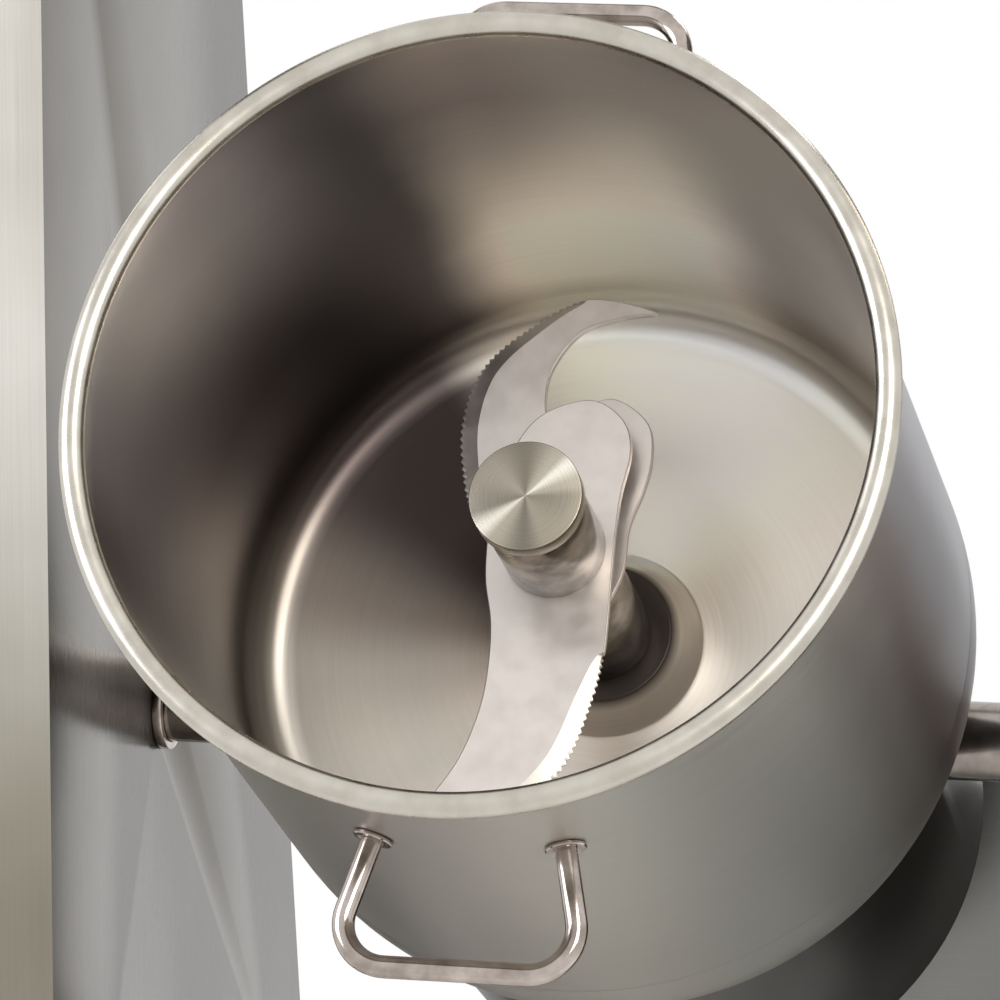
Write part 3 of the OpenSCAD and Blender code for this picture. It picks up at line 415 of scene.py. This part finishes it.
finishes = {
    # spun on a former and brushed: rings, and painted wedges of reflection and shade that differ on wall and
    # floor
    "spunInside": spunSteel("spunStainlessBowl", ("shallow", "deep", "floor"), 0.32, 1.85),
    # brushed round the bowl: broad soft bands of painted reflection, duller than the inside
    "brushedOutside": spunSteel("brushedStainlessOutside", ("outside",), 0.38, 1.45),
    # pressed and brushed: straight grain, soft glow
    "lidSheet": brushedSheet("brushedLidStainless", "#a09d96", "#bcb8b0", 0.34, 0),
    # rolled edge, polished: a bright line with faint smears
    "rimSteel": polishedMetal("polishedRimStainless", "#beb8ad", "#cac5ba", 0.27),
    # folded sheet, grain upright: pale at the top, with painted shade darkening it near the floor
    "sheetUpright": brushedSheet(
        "brushedStainlessSheetUpright", "#c2beb4", "#dedad2", 0.36, 2, paintedLowShade="#b0aca2"
    ),
    # the columns' side faces, turned from the light: darker and glossier
    "columnSide": brushedSheet("brushedStainlessColumnSide", "#6a6661", "#807c76", 0.24, 2),
    # grain across, mid grey and even
    "sheetAcross": brushedSheet("brushedStainlessSheetAcross", "#7c7b78", "#8f8e8b", 0.36, 0),
    # drawn bar, polished: sharp long highlights
    "bar": polishedMetal("polishedStainlessBar", "#9c9088", "#c4bab2", 0.12),
    # drawn tube, a little duller than the bar
    "tube": polishedMetal("polishedStainlessTube", "#8e8680", "#aaa39c", 0.16),
    # ground flat and satin finished: pale and even
    "blade": polishedMetal("satinBladeSteel", "#d4ccc6", "#dfd8d2", 0.34),
    # freshly ground band at the cutting edge: pale and matt
    "bladeEdge": polishedMetal("groundBladeEdge", "#c6c2bc", "#d4d0ca", 0.42),
    # faced on a lathe: tool rings and a painted fan of highlights
    "turned": turnedSteel("turnedStainlessHub", "#b4ae9f", 0.26),
    # turned and polished, in the shade of the blades
    "sleeve": polishedMetal("polishedHubSleeve", "#5f5a55", "#a59d95", 0.20),
    # sand cast and painted: a coarse dull skin
    "casting": mouldedSkin("paintedCastIron", "#40464b", "#535a60", 0.55, 1.2 * mm, 0.3),
    # stacked thin sheets: fine grey lines
    "core": brushedSheet("laminatedCoreSteel", "#55575a", "#77797c", 0.5, 0, 0.5 * mm),
    # enamelled wire in varnish: brown and slightly glossy
    "winding": mouldedSkin("varnishedWinding", "#4a2c14", "#7a4c26", 0.35),
    # moulded: black and matt
    "rubber": mouldedSkin("mouldedRubber", "#161616", "#262626", 0.62),
    "panel": mouldedSkin("mouldedPanelAbs", "#33363a", "#44484c", 0.45),  # moulded: fine spark texture
    "black": mouldedSkin("mouldedBlackNylon", "#101113", "#1e2022", 0.42),  # moulded: deep black, half matt
    "white": mouldedSkin("foodGradeAcetal", "#d8d5cc", "#eeece5", 0.38),  # machined: warm white, waxy
    "green": mouldedSkin("mouldedGreenAbs", "#1d6b34", "#2c8a46", 0.30),  # moulded: glossy button
    "red": mouldedSkin("mouldedRedAbs", "#a81c14", "#c92c20", 0.30),  # moulded: glossy button
    "enclosure": mouldedSkin("powderCoatedEnclosure", "#7b8288", "#939aa0", 0.5),  # fine orange peel
}
print("materials made")

slotFinish = {
    "brushed_sheet": "sheetUpright", "bowl_steel": "brushedOutside", "polished_steel": "bar",
    "blade_steel": "blade", "turned_steel": "turned", "cast_housing": "casting", "core_steel": "core",
    "winding": "winding", "seal_rubber": "rubber", "panel_plastic": "panel", "black_plastic": "black",
    "white_plastic": "white", "green_plastic": "green", "red_plastic": "red", "grey_enclosure": "enclosure",
}
nodeSlot = {part["node"]: part["material_slot"] for part in frame["record"]["subparts"]}
nodeBody = {node: body for body, nodes in frame["record"]["behaviour"]["bodies"].items() for node in nodes}

# How meshes are merged, bevelled and smoothed
meshLook = {
    "cadMerge": 0.004 * mm,
    "latheMerge": 0.002 * mm,
    "flatAngle": 0.5,  # triangles that meet within this many degrees become one face
    "bevel": 0.45 * mm,
    "bevelAngle": 38,
    "bevelSegments": 2,
    "cadSharp": 34,  # degrees past which an edge stays sharp
    "latheSharp": 40,
    "rodSharp": 50,
    "bladeSharp": 8,
    "sideFacing": 0.8,  # a face counts as a side from this much of its normal along X
}


def makeObject(name, mesh, materials):
    made = bpy.data.objects.new(name, mesh)
    scene.collection.objects.link(made)
    for material in materials:
        mesh.materials.append(material)
    return made


# Turns bmesh work into an object: faces outwards, and edges past an angle in degrees kept sharp
def finishMesh(work, name, materials, sharp):
    bmesh.ops.recalc_face_normals(work, faces=work.faces)
    mesh = bpy.data.meshes.new(name)
    work.to_mesh(mesh)
    work.free()
    made = makeObject(name, mesh, [finishes[key] for key in materials])
    mesh.set_sharp_from_angle(angle=math.radians(sharp))
    return made


def joinPieces(parts, name):
    work = bmesh.new()
    for part in parts:
        work.from_mesh(part.data)
    mesh = bpy.data.meshes.new(name)
    work.to_mesh(mesh)
    work.free()
    made = makeObject(name, mesh, parts[0].data.materials)
    for part in parts:
        bpy.data.objects.remove(part)
    mesh.set_sharp_from_angle(angle=math.radians(meshLook["latheSharp"]))
    return made


# Says what a finished piece rides on and stands for
def settle(piece, *nodes):
    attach(piece, nodeBody[nodes[0]])
    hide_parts(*nodes)
    return piece


def bakeModifiers(made):
    graph = bpy.context.evaluated_depsgraph_get()
    mesh = bpy.data.meshes.new_from_object(made.evaluated_get(graph))
    old = made.data
    made.modifiers.clear()
    made.data = mesh
    bpy.data.meshes.remove(old)
    return made


# Merged copy of a CAD node with softened edges and smooth rounds
def dressNode(node, finish, soften, sideFinish=None):
    mesh = frame["nodes"][node].data.copy()
    mesh.materials.clear()
    work = bmesh.new()
    work.from_mesh(mesh)
    bmesh.ops.remove_doubles(work, verts=work.verts, dist=meshLook["cadMerge"])
    bmesh.ops.dissolve_limit(
        work, angle_limit=math.radians(meshLook["flatAngle"]), verts=work.verts, edges=work.edges,
        delimit={"NORMAL"},
    )
    work.to_mesh(mesh)
    work.free()
    made = makeObject(node + "_finished", mesh, [finishes[key] for key in (finish, sideFinish) if key])
    if soften:
        bevel = made.modifiers.new("softEdges", "BEVEL")
        bevel.width = soften
        bevel.segments = meshLook["bevelSegments"]
        bevel.limit_method = "ANGLE"
        bevel.angle_limit = math.radians(meshLook["bevelAngle"])
        bevel.miter_outer = "MITER_ARC"
        bevel.use_clamp_overlap = True
        bakeModifiers(made)
    for polygon in made.data.polygons:
        polygon.use_smooth = True
        polygon.material_index = 1 if sideFinish and abs(polygon.normal.x) > meshLook["sideFacing"] else 0
    made.data.set_sharp_from_angle(angle=math.radians(meshLook["cadSharp"]))
    return settle(made, node)


# Points along part of a circle, angles in degrees
def arcPoints(x, z, radius, start, end, count):
    turns = [math.radians(start + (end - start) * i / count) for i in range(count + 1)]
    return [(x + radius * math.cos(t), z + radius * math.sin(t)) for t in turns]


# Closed body of revolution from a profile of (radius, height), placed by a matrix
def lathe(profile, place, turns, name, materials, materialAt=None):
    work = bmesh.new()
    count = len(profile)
    rows = []
    for k in range(turns):
        a = 2 * math.pi * k / turns
        rows.append(
            [work.verts.new(place @ Vector((r * math.cos(a), r * math.sin(a), z))) for r, z in profile]
        )
    for k in range(turns):
        here, there = rows[k], rows[(k + 1) % turns]
        for i in range(count):
            j = (i + 1) % count
            face = work.faces.new((here[i], there[i], there[j], here[j]))
            face.smooth = True
            face.material_index = materialAt(i) if materialAt else 0
    bmesh.ops.remove_doubles(work, verts=work.verts, dist=meshLook["latheMerge"])
    return finishMesh(work, name, materials, meshLook["latheSharp"])


# The spun bowl: rolled bead, wall, rounded corner, floor and the boss round the shaft
bowlLook = {
    "turns": 256,
    "bossTop": 42 * mm,
    "bossBase": 57 * mm,
    "bossHeight": 24 * mm,
    "bossRound": 1.5 * mm,
    "bossToe": 1.0 * mm,  # the foot of the boss runs out over this on both sides
    "bossToeRise": 1.2 * mm,
    "shaftBore": 19.05 * mm,
    "floorRing": 120 * mm,
    "innerRings": (0.75, 0.5, 0.25, 0.06),  # rings on the wall, as shares of the depth
    "outerRings": (0.3, 0.6),
    "beadTuck": 2.4,  # where the outer wall meets the bead, in bead radii below the rim
}


def makeBowl():
    size, look = bowlLayout, bowlLook
    bead, depth, fillet = size["beadRadius"], size["depth"], size["fillet"]
    under = depth + size["wall"]
    bossLevel = depth - look["bossHeight"]
    top, base, ease = look["bossTop"] - look["bossRound"], look["bossBase"], look["bossRound"]
    corner = innerRadius - fillet
    inside = [(look["shaftBore"], -bossLevel), (top, -bossLevel)]
    inside += arcPoints(top, -bossLevel - ease, ease, 90, 32, 4)[1:]
    inside += [(base - look["bossToe"], -depth + look["bossToeRise"]), (base + look["bossToe"], -depth)]
    inside += [(look["floorRing"], -depth), (corner, -depth)]
    inside += arcPoints(corner, fillet - depth, fillet, -90, 0, 10)[1:]
    inside += [(innerRadius, -depth * t) for t in look["innerRings"]]
    rim = arcPoints(size["rimRadius"] - bead, -bead, bead, 180, -60, 18)
    outside = [(outerRadius, -look["beadTuck"] * bead)]
    outside += [(outerRadius, -depth * t) for t in look["outerRings"]]
    outside += [(outerRadius, fillet - depth)]
    outside += arcPoints(corner, fillet - depth, fillet + size["wall"], 0, -90, 8)[1:]
    outside += [(base, -under), (look["shaftBore"], -under)]

    def finishAt(i):
        if i < len(inside):
            return 0
        return 2 if i < len(inside) + len(rim) - 1 else 1

    made = lathe(
        inside + rim + outside, bowlPlace, look["turns"], "spun_bowl",
        ["spunInside", "brushedOutside", "rimSteel"], finishAt,
    )
    return settle(made, "bowl")


# A round bar bent along a path, with closed ends
def sweepRod(points, radius, name, finish, sides=20):
    work = bmesh.new()
    rings = []
    normal = None
    for i, point in enumerate(points):
        ahead = points[min(i + 1, len(points) - 1)] - points[max(i - 1, 0)]
        ahead.normalize()
        if normal is None:
            normal = ahead.orthogonal().normalized()
        normal = (normal - ahead * normal.dot(ahead)).normalized()
        across = ahead.cross(normal)
        turns = [2 * math.pi * k / sides for k in range(sides)]
        rings.append(
            [work.verts.new(point + radius * (math.cos(a) * normal + math.sin(a) * across)) for a in turns]
        )
    for here, there in zip(rings, rings[1:]):
        for k in range(sides):
            face = work.faces.new((here[k], here[(k + 1) % sides], there[(k + 1) % sides], there[k]))
            face.smooth = True
    work.faces.new(list(reversed(rings[0])))
    work.faces.new(rings[-1])
    return finishMesh(work, name, [finish], meshLook["rodSharp"])


# Bent bar handles, each on two washers, with legs that lean out from the bowl's axis
handleLook = {
    "rod": 6.2 * mm,
    "halfSpan": 53 * mm,
    "reach": 66 * mm,
    "bend": 25 * mm,
    "drop": {"front_handle": 110 * mm, "rear_handle": 134 * mm},  # below the rim
    "legSteps": 4,
    "bendSteps": 16,
    "washer": 11.5 * mm,
    "washerThick": 2.5 * mm,
    "washerEdge": 0.7 * mm,
    "washerRoot": 2 * mm,  # the weld's width, on the washer's face
    "washerDip": 0.4 * mm,
    "washerGap": 0.03 * mm,
    "washerTurns": 48,
}
handleLean = math.asin(handleLook["halfSpan"] / outerRadius)


def makeHandle(node, side):
    look, lean = handleLook, handleLean
    bend, legSteps, bendSteps = look["bend"], look["legSteps"], look["bendSteps"]
    barY = outerRadius + look["reach"]
    bendStart = (barY - bend * (1 + math.sin(lean))) / math.cos(lean)
    centre = Vector((bendStart * math.sin(lean) - bend * math.cos(lean), barY - bend))
    leg = Vector((math.sin(lean), math.cos(lean)))
    flat = [leg * (outerRadius + (bendStart - outerRadius) * t / legSteps) for t in range(legSteps + 1)]
    sweep = [-lean + (math.pi / 2 + lean) * t / bendSteps for t in range(1, bendSteps + 1)]
    flat += [centre + bend * Vector((math.cos(t), math.sin(t))) for t in sweep]
    mirrored = [Vector((-p.x, p.y)) for p in reversed(flat)]
    drop = look["drop"][node]
    points = [bowlPlace @ Vector((p.x * side, p.y * side, -drop)) for p in flat + mirrored]
    return settle(sweepRod(points, look["rod"], node + "_rod", "bar"), node)


def makeWashers():
    look = handleLook
    bore, rim = look["rod"] + look["washerGap"], look["washer"]
    thick, edge = look["washerThick"], look["washerEdge"]
    profile = [
        (bore, 0), (rim - edge, 0), (rim, edge), (rim, thick - edge), (rim - edge, thick),
        (look["rod"] + look["washerRoot"], thick), (bore, thick - look["washerDip"]),
    ]
    parts = []
    for node, start in (("rear_handle", 0), ("front_handle", math.pi)):
        for turn in (start + handleLean, start - handleLean):
            place = (
                bowlPlace
                @ Matrix.Translation((0, 0, -look["drop"][node]))
                @ Matrix.Rotation(turn, 4, "Z")
                @ Matrix.Translation((0, outerRadius, 0))
                @ Matrix.Rotation(math.radians(-90), 4, "X")
            )
            parts.append(lathe(profile, place, look["washerTurns"], "washer", ["bar"]))
    return settle(joinPieces(parts, "handle_foot_washers"), "handle_washers")


# Curved blades: outline points are shares of the reach, the same ones as in the CAD
bladeLook = {
    "reach": 175 * mm,
    "thick": 5 * mm,
    "bore": 19.02 * mm,
    "boreSides": 64,
    "toothPitch": 4.2 * mm,
    "toothDepth": 1.6 * mm,
    "bandWidth": 11 * mm,
    "edgeThick": 1.0 * mm,
    "chamfer": 0.5 * mm,
    "fadePower": 0.5,  # the band widens fast at its ends and evenly in the middle
    "marginTeeth": 1.5,  # margin of the band behind the teeth, in tooth depths
    "marginStart": 0.5,  # its width at the ends, in chamfers
    "marginMost": 0.9,  # its widest, as a share of the band
    "marginFall": 0.6,  # how much less than the band it falls
    "plainSteps": 6,  # steps of the curve between two outline points where there are no teeth
}
upperShares = [
    (0.195, -0.02), (0.200, -0.22), (0.199, -0.345), (0.178, -0.50), (0.112, -0.72), (-0.02, -0.87),
    (-0.21, -0.955), (-0.37, -0.93), (-0.31, -0.85), (-0.235, -0.72), (-0.188, -0.56), (-0.175, -0.42),
    (-0.183, -0.26), (-0.218, -0.10), (-0.222, 0.10), (-0.185, 0.30), (-0.10, 0.45), (0.06, 0.515),
    (0.175, 0.455), (0.216, 0.345), (0.197, 0.18),
]
lowerShares = [
    (-0.243, 0.03), (-0.315, 0.15), (-0.358, 0.26), (-0.387, 0.46), (-0.342, 0.65), (-0.212, 0.79),
    (-0.01, 0.905), (0.228, 0.868), (0.120, 0.845), (-0.014, 0.79), (-0.095, 0.67), (-0.110, 0.56),
    (-0.085, 0.485), (0.02, 0.53), (0.123, 0.56), (0.240, 0.48), (0.265, 0.357), (0.250, 0.25),
    (0.214, 0.12), (0.205, -0.05), (0.12, -0.20), (-0.04, -0.235), (-0.19, -0.15),
]


# Smooth closed curve through the points: each spot has its inward direction, its notch between two teeth
# and its share of the toothed stretch, which is -1 outside that stretch
def bladeOutline(shares, first, last):
    look = bladeLook
    points = [Vector(p) * look["reach"] for p in shares]
    count = len(points)
    result = []
    for i in range(count):
        a, b, c, d = (points[(i + k) % count] for k in (-1, 0, 1, 2))
        toothed = first <= i < last
        steps = 2 * max(1, round((c - b).length / look["toothPitch"])) if toothed else look["plainSteps"]
        square = 2 * a - 5 * b + 4 * c - d
        cube = 3 * b - a - 3 * c + d
        for k in range(steps):
            t = k / steps
            spot = 0.5 * (2 * b + (c - a) * t + square * t * t + cube * t ** 3)
            slope = 0.5 * ((c - a) + 2 * square * t + 3 * cube * t * t)
            inward = -Vector((-slope.y, slope.x)).normalized()
            notch = look["toothDepth"] if toothed and k % 2 else 0
            share = (i - first + t) / (last - first) if toothed else -1
            result.append((spot, inward, notch, share))
    return result


# A flat blade whose ground band swells from a small chamfer at both ends of the toothed stretch
def makeBlade(name, node, shares, first, last, top):
    look = bladeLook
    outline = bladeOutline(shares, first, last)
    work = bmesh.new()

    def put(p, z):
        return work.verts.new(bowlPlace @ Vector((p.x, p.y, z)))

    def putBore(z):
        turns = [2 * math.pi * k / look["boreSides"] for k in range(look["boreSides"])]
        return [put(Vector((math.cos(a), math.sin(a))) * look["bore"], z) for a in turns]

    topLoop, marginLoop, edgeTop, edgeLow = [], [], [], []
    for spot, inward, notch, share in outline:
        fade = math.sin(math.pi * min(share, 1)) ** look["fadePower"] if share >= 0 else 0
        band = look["chamfer"] + (look["bandWidth"] - look["chamfer"]) * fade
        drop = look["chamfer"] + (look["thick"] - look["edgeThick"] - look["chamfer"]) * fade
        outer = spot + inward * notch
        margin = look["toothDepth"] * look["marginTeeth"] * fade + look["chamfer"] * look["marginStart"]
        margin = min(margin, band * look["marginMost"])
        fall = drop * (1 - margin / band * look["marginFall"])
        topLoop.append(put(spot + inward * band, -top))
        marginLoop.append(put(spot + inward * margin, -top - fall))
        edgeTop.append(put(outer, -top - drop))
        edgeLow.append(put(outer, -top - look["thick"]))
    boreTop = putBore(-top)
    boreLow = putBore(-top - look["thick"])
    for i in range(len(outline)):
        j = (i + 1) % len(outline)
        for upper, lower in ((topLoop, marginLoop), (marginLoop, edgeTop)):
            face = work.faces.new((upper[i], upper[j], lower[j], lower[i]))
            face.material_index = 1 if outline[i][3] >= 0 else 0
        work.faces.new((edgeTop[i], edgeTop[j], edgeLow[j], edgeLow[i]))
    for k in range(look["boreSides"]):
        n = (k + 1) % look["boreSides"]
        work.faces.new((boreTop[k], boreLow[k], boreLow[n], boreTop[n]))
    bowlBack = bowlPlace.inverted()
    for rings in ((topLoop, boreTop), (edgeLow, boreLow)):
        every = rings[0] + rings[1]
        flat = [[Vector((*(bowlBack @ vert.co).xy, 0)) for vert in ring] for ring in rings]
        for three in tessellate_polygon(flat):
            work.faces.new([every[k] for k in three])
    for face in work.faces:
        face.smooth = True
    return settle(finishMesh(work, name, ["blade", "bladeEdge"], meshLook["bladeSharp"]), node)


makeBowl()
makeHandle("front_handle", -1)
makeHandle("rear_handle", 1)
makeWashers()
makeBlade("upper_blade_ground", "upper_blade", upperShares, 2, 6, 237 * mm)
makeBlade("lower_blade_ground", "lower_blade", lowerShares, 0, 6, 256 * mm)
print("bowl, handles and blades made")

# Screw heads: one Geometry Nodes tree sets a head with its hexagon socket on each point
screwLook = {
    "sides": 24,
    "socketShare": 0.46,  # the socket's radius as a share of the head's
    "bracketReach": 0.35,  # the hinge brackets' screws lie nearer the middle than this and face inwards
}


def screwTree():
    tree = bpy.data.node_groups.new("screwHeads", "GeometryNodeTree")
    face = tree.interface
    face.new_socket("Geometry", in_out="INPUT", socket_type="NodeSocketGeometry")
    sizes = [
        face.new_socket(name, in_out="INPUT", socket_type="NodeSocketFloat").identifier
        for name in ("Head Radius", "Head Height", "Socket Radius")
    ]
    face.new_socket("Geometry", in_out="OUTPUT", socket_type="NodeSocketGeometry")
    start = addNode(tree, "NodeGroupInput")
    head = addNode(
        tree, "GeometryNodeMeshCylinder", inputs={"Vertices": screwLook["sides"]},
        links={"Radius": start.outputs["Head Radius"], "Depth": start.outputs["Head Height"]},
    )
    key = addNode(
        tree, "GeometryNodeMeshCylinder", inputs={"Vertices": 6},
        links={"Radius": start.outputs["Socket Radius"], "Depth": start.outputs["Head Height"]},
    )
    half = addNode(
        tree, "ShaderNodeMath", {"operation": "MULTIPLY"}, {1: 0.5}, {0: start.outputs["Head Height"]}
    )
    lift = addNode(tree, "ShaderNodeCombineXYZ", links={2: half.outputs[0]})
    raised = addNode(
        tree, "GeometryNodeTransform", links={"Geometry": key.outputs["Mesh"], "Translation": lift.outputs[0]}
    )
    cutOut = addNode(
        tree, "GeometryNodeMeshBoolean", {"operation": "DIFFERENCE"},
        links={"Mesh 1": head.outputs["Mesh"], "Mesh 2": raised.outputs["Geometry"]},
    )
    seated = addNode(
        tree, "GeometryNodeTransform",
        links={"Geometry": cutOut.outputs["Mesh"], "Translation": lift.outputs[0]},
    )
    normal = addNode(
        tree, "GeometryNodeInputNamedAttribute", {"data_type": "FLOAT_VECTOR"}, {"Name": "outward"}
    )
    aim = addNode(
        tree, "FunctionNodeAlignRotationToVector", {"axis": "Z"},
        links={"Vector": normal.outputs["Attribute"]},
    )
    placed = addNode(
        tree, "GeometryNodeInstanceOnPoints",
        links={
            "Points": start.outputs["Geometry"],
            "Instance": seated.outputs["Geometry"],
            "Rotation": aim.outputs["Rotation"],
        },
    )
    real = addNode(tree, "GeometryNodeRealizeInstances", links={0: placed.outputs[0]})
    finish = addNode(
        tree, "GeometryNodeSetMaterial", inputs={"Material": finishes["bar"]},
        links={"Geometry": real.outputs[0]},
    )
    addNode(tree, "NodeGroupOutput", links={0: finish.outputs[0]})
    return tree, sizes


# Middle and size of each separate solid of a CAD node
def solidMiddles(node):
    work = bmesh.new()
    work.from_mesh(frame["nodes"][node].data)
    bmesh.ops.remove_doubles(work, verts=work.verts, dist=meshLook["cadMerge"])
    seen, middles = set(), []
    for vert in work.verts:
        if vert in seen:
            continue
        group, queue = [], [vert]
        seen.add(vert)
        while queue:
            here = queue.pop()
            group.append(here.co.copy())
            for edge in here.link_edges:
                other = edge.other_vert(here)
                if other not in seen:
                    seen.add(other)
                    queue.append(other)
        low = Vector([min(p[a] for p in group) for a in range(3)])
        high = Vector([max(p[a] for p in group) for a in range(3)])
        middles.append(((low + high) / 2, high - low))
    work.free()
    return middles


def makeScrews():
    tree, sizes = screwTree()
    groups = {}
    for middle, size in solidMiddles("cover_screws"):
        thin = min(range(3), key=lambda a: size[a])
        out = Vector((0, 0, 0))
        out[thin] = 1 if middle[thin] > 0 else -1
        if thin == 0 and abs(middle.x) < screwLook["bracketReach"]:
            out.negate()
        key = (round(max(size), 5), round(size[thin], 5))
        groups.setdefault(key, []).append((middle - out * size[thin] / 2, out))
    parts = []
    for (width, thick), spots in groups.items():
        mesh = bpy.data.meshes.new("screwSpots")
        mesh.from_pydata([p for p, _ in spots], [], [])
        facing = mesh.attributes.new("outward", "FLOAT_VECTOR", "POINT")
        for i, (_, out) in enumerate(spots):
            facing.data[i].vector = out
        made = makeObject("screwSpots", mesh, [])
        modifier = made.modifiers.new("screwHeads", "NODES")
        modifier.node_group = tree
        for socket, value in zip(sizes, (width / 2, thick, width / 2 * screwLook["socketShare"])):
            modifier[socket] = value
        parts.append(bakeModifiers(made))
    return settle(joinPieces(parts, "socket_head_screws"), "cover_screws")


makeScrews()
print("screws set")

# The remaining nodes keep their CAD shape, with softened edges and their own finish
nodeFinish = {
    "rear_crossbeam": "sheetAcross",
    "rear_housing": "sheetAcross",
    "upper_sleeve": "sleeve",
    "lower_sleeve": "sleeve",
    "blade_spacer": "sleeve",
    "left_trunnion": "tube",
    "right_trunnion": "tube",
    "lid": "lidSheet",
    "motor_shroud": "sheetAcross",
    "shroud_cover": "sheetAcross",
    "lid_arm": "bar",
}
plainEdges = ("stator", "rotor_core", "cooling_fan", "upper_bearing", "lower_bearing", "shaft_seal")
madeAbove = (
    "bowl", "front_handle", "rear_handle", "handle_washers", "upper_blade", "lower_blade", "cover_screws"
)
for node, slot in nodeSlot.items():
    if node not in madeAbove:
        side = "columnSide" if node in ("left_column", "right_column") else None
        soften = 0 if node in plainEdges else meshLook["bevel"]
        dressNode(node, nodeFinish.get(node, slotFinish[slot]), soften, side)
print("frame, motor, lid and controls finished")

# Pale studio floor and even light
stageLook = {
    "floor": "#f1f0ee",
    "floorRough": 0.8,
    "floorSize": 40.0,
    "whiteFrom": 0.7,  # metres from the middle of the floor
    "whiteTo": 1.3,
    "worldColour": "#ececee",
    "worldStrength": 0.9,
}
lamps = {
    "keyLamp": {
        "place": (1.8, -2.6, 2.6), "aim": (0, -0.2, 0.7), "size": (1.4, 1.8),
        "power": 70, "colour": "#fffaf2",
    },
    "fillLamp": {
        "place": (-2.6, -1.6, 1.8), "aim": (0, -0.2, 0.7), "size": (1.6, 1.8),
        "power": 45, "colour": "#f2f4ff",
    },
    "rimLamp": {
        "place": (0.6, 2.4, 2.6), "aim": (0, 0, 0.8), "size": (1.6, 1.2),
        "power": 40, "colour": "#ffffff",
    },
}


# One where the camera sees it straight, or in a reflection or through glass
def seenWhite(tree):
    path = addNode(tree, "ShaderNodeLightPath")
    first = addNode(
        tree, "ShaderNodeMath", {"operation": "MAXIMUM"},
        links={0: path.outputs["Is Camera Ray"], 1: path.outputs["Is Glossy Ray"]},
    )
    second = addNode(
        tree, "ShaderNodeMath", {"operation": "MAXIMUM"},
        links={0: first.outputs[0], 1: path.outputs["Is Transmission Ray"]},
    )
    return second.outputs[0]


def makeWorld():
    world = bpy.data.worlds.new("studio")
    scene.world = world
    world.use_nodes = True
    tree = world.node_tree
    tree.nodes.clear()
    seen = seenWhite(tree)
    soft = addNode(
        tree, "ShaderNodeBackground",
        inputs={"Color": hexColour(stageLook["worldColour"]), "Strength": stageLook["worldStrength"]},
    )
    white = addNode(tree, "ShaderNodeBackground", inputs={"Color": (1, 1, 1, 1), "Strength": 1.0})
    mixed = addNode(tree, "ShaderNodeMixShader", links={0: seen, 1: soft.outputs[0], 2: white.outputs[0]})
    addNode(tree, "ShaderNodeOutputWorld", links={0: mixed.outputs[0]})


def makeFloor():
    mesh = bpy.data.meshes.new("floor")
    half = stageLook["floorSize"] / 2
    corners = [(-half, -half, 0), (half, -half, 0), (half, half, 0), (-half, half, 0)]
    mesh.from_pydata(corners, [], [(0, 1, 2, 3)])
    material, tree, shader, coords = startMaterial("paleStudioFloor")
    shader.inputs["Base Color"].default_value = hexColour(stageLook["floor"])
    shader.inputs["Roughness"].default_value = stageLook["floorRough"]
    # near the object the floor is lit and keeps its shadow, and further out it is seen as white
    away = addNode(tree, "ShaderNodeVectorMath", {"operation": "LENGTH"}, links={0: coords})
    far = addNode(
        tree, "ShaderNodeMapRange", {"interpolation_type": "SMOOTHSTEP"},
        {1: stageLook["whiteFrom"], 2: stageLook["whiteTo"]}, {0: away.outputs["Value"]},
    )
    share = addNode(
        tree, "ShaderNodeMath", {"operation": "MULTIPLY"}, links={0: far.outputs[0], 1: seenWhite(tree)}
    )
    white = addNode(tree, "ShaderNodeEmission", inputs={"Color": (1, 1, 1, 1), "Strength": 1.0})
    mixed = addNode(
        tree, "ShaderNodeMixShader", links={0: share.outputs[0], 1: shader.outputs[0], 2: white.outputs[0]}
    )
    tree.links.new(mixed.outputs[0], tree.nodes["Material Output"].inputs["Surface"])
    made = makeObject("studio_floor", mesh, [material])


def makeLamp(name, look):
    data = bpy.data.lights.new(name, "AREA")
    data.shape = "RECTANGLE"
    data.size, data.size_y = look["size"]
    data.energy = look["power"]
    data.color = hexColour(look["colour"])[:3]
    made = bpy.data.objects.new(name, data)
    made.location = look["place"]
    made.rotation_euler = (Vector(look["place"]) - Vector(look["aim"])).to_track_quat("Z", "Y").to_euler()
    scene.collection.objects.link(made)


makeWorld()
makeFloor()
for name, look in lamps.items():
    makeLamp(name, look)
print("stage and lamps set")

# Camera matched to the photograph's rim, hub and trunnion lines
cameraLook = {
    "fromTrunnion": (0.820, -4.081, 0.923),
    "azimuth": 12.64,
    "elevation": 10.66,
    "lens": 252,
    "sensor": 36,
    "clipEnd": 60,
}


def makeCamera():
    data = bpy.data.cameras.new("camera")
    data.lens = cameraLook["lens"]
    data.sensor_width = cameraLook["sensor"]
    data.clip_end = cameraLook["clipEnd"]
    made = bpy.data.objects.new("camera", data)
    around = math.radians(cameraLook["azimuth"])
    above = math.radians(cameraLook["elevation"])
    back = Vector((math.sin(around) * math.cos(above), -math.cos(around) * math.cos(above), math.sin(above)))
    made.location = bowlLayout["trunnion"] + Vector(cameraLook["fromTrunnion"])
    made.rotation_euler = back.to_track_quat("Z", "Y").to_euler()
    scene.collection.objects.link(made)
    scene.camera = made


makeCamera()
scene.view_settings.view_transform = "Standard"
print("camera set")
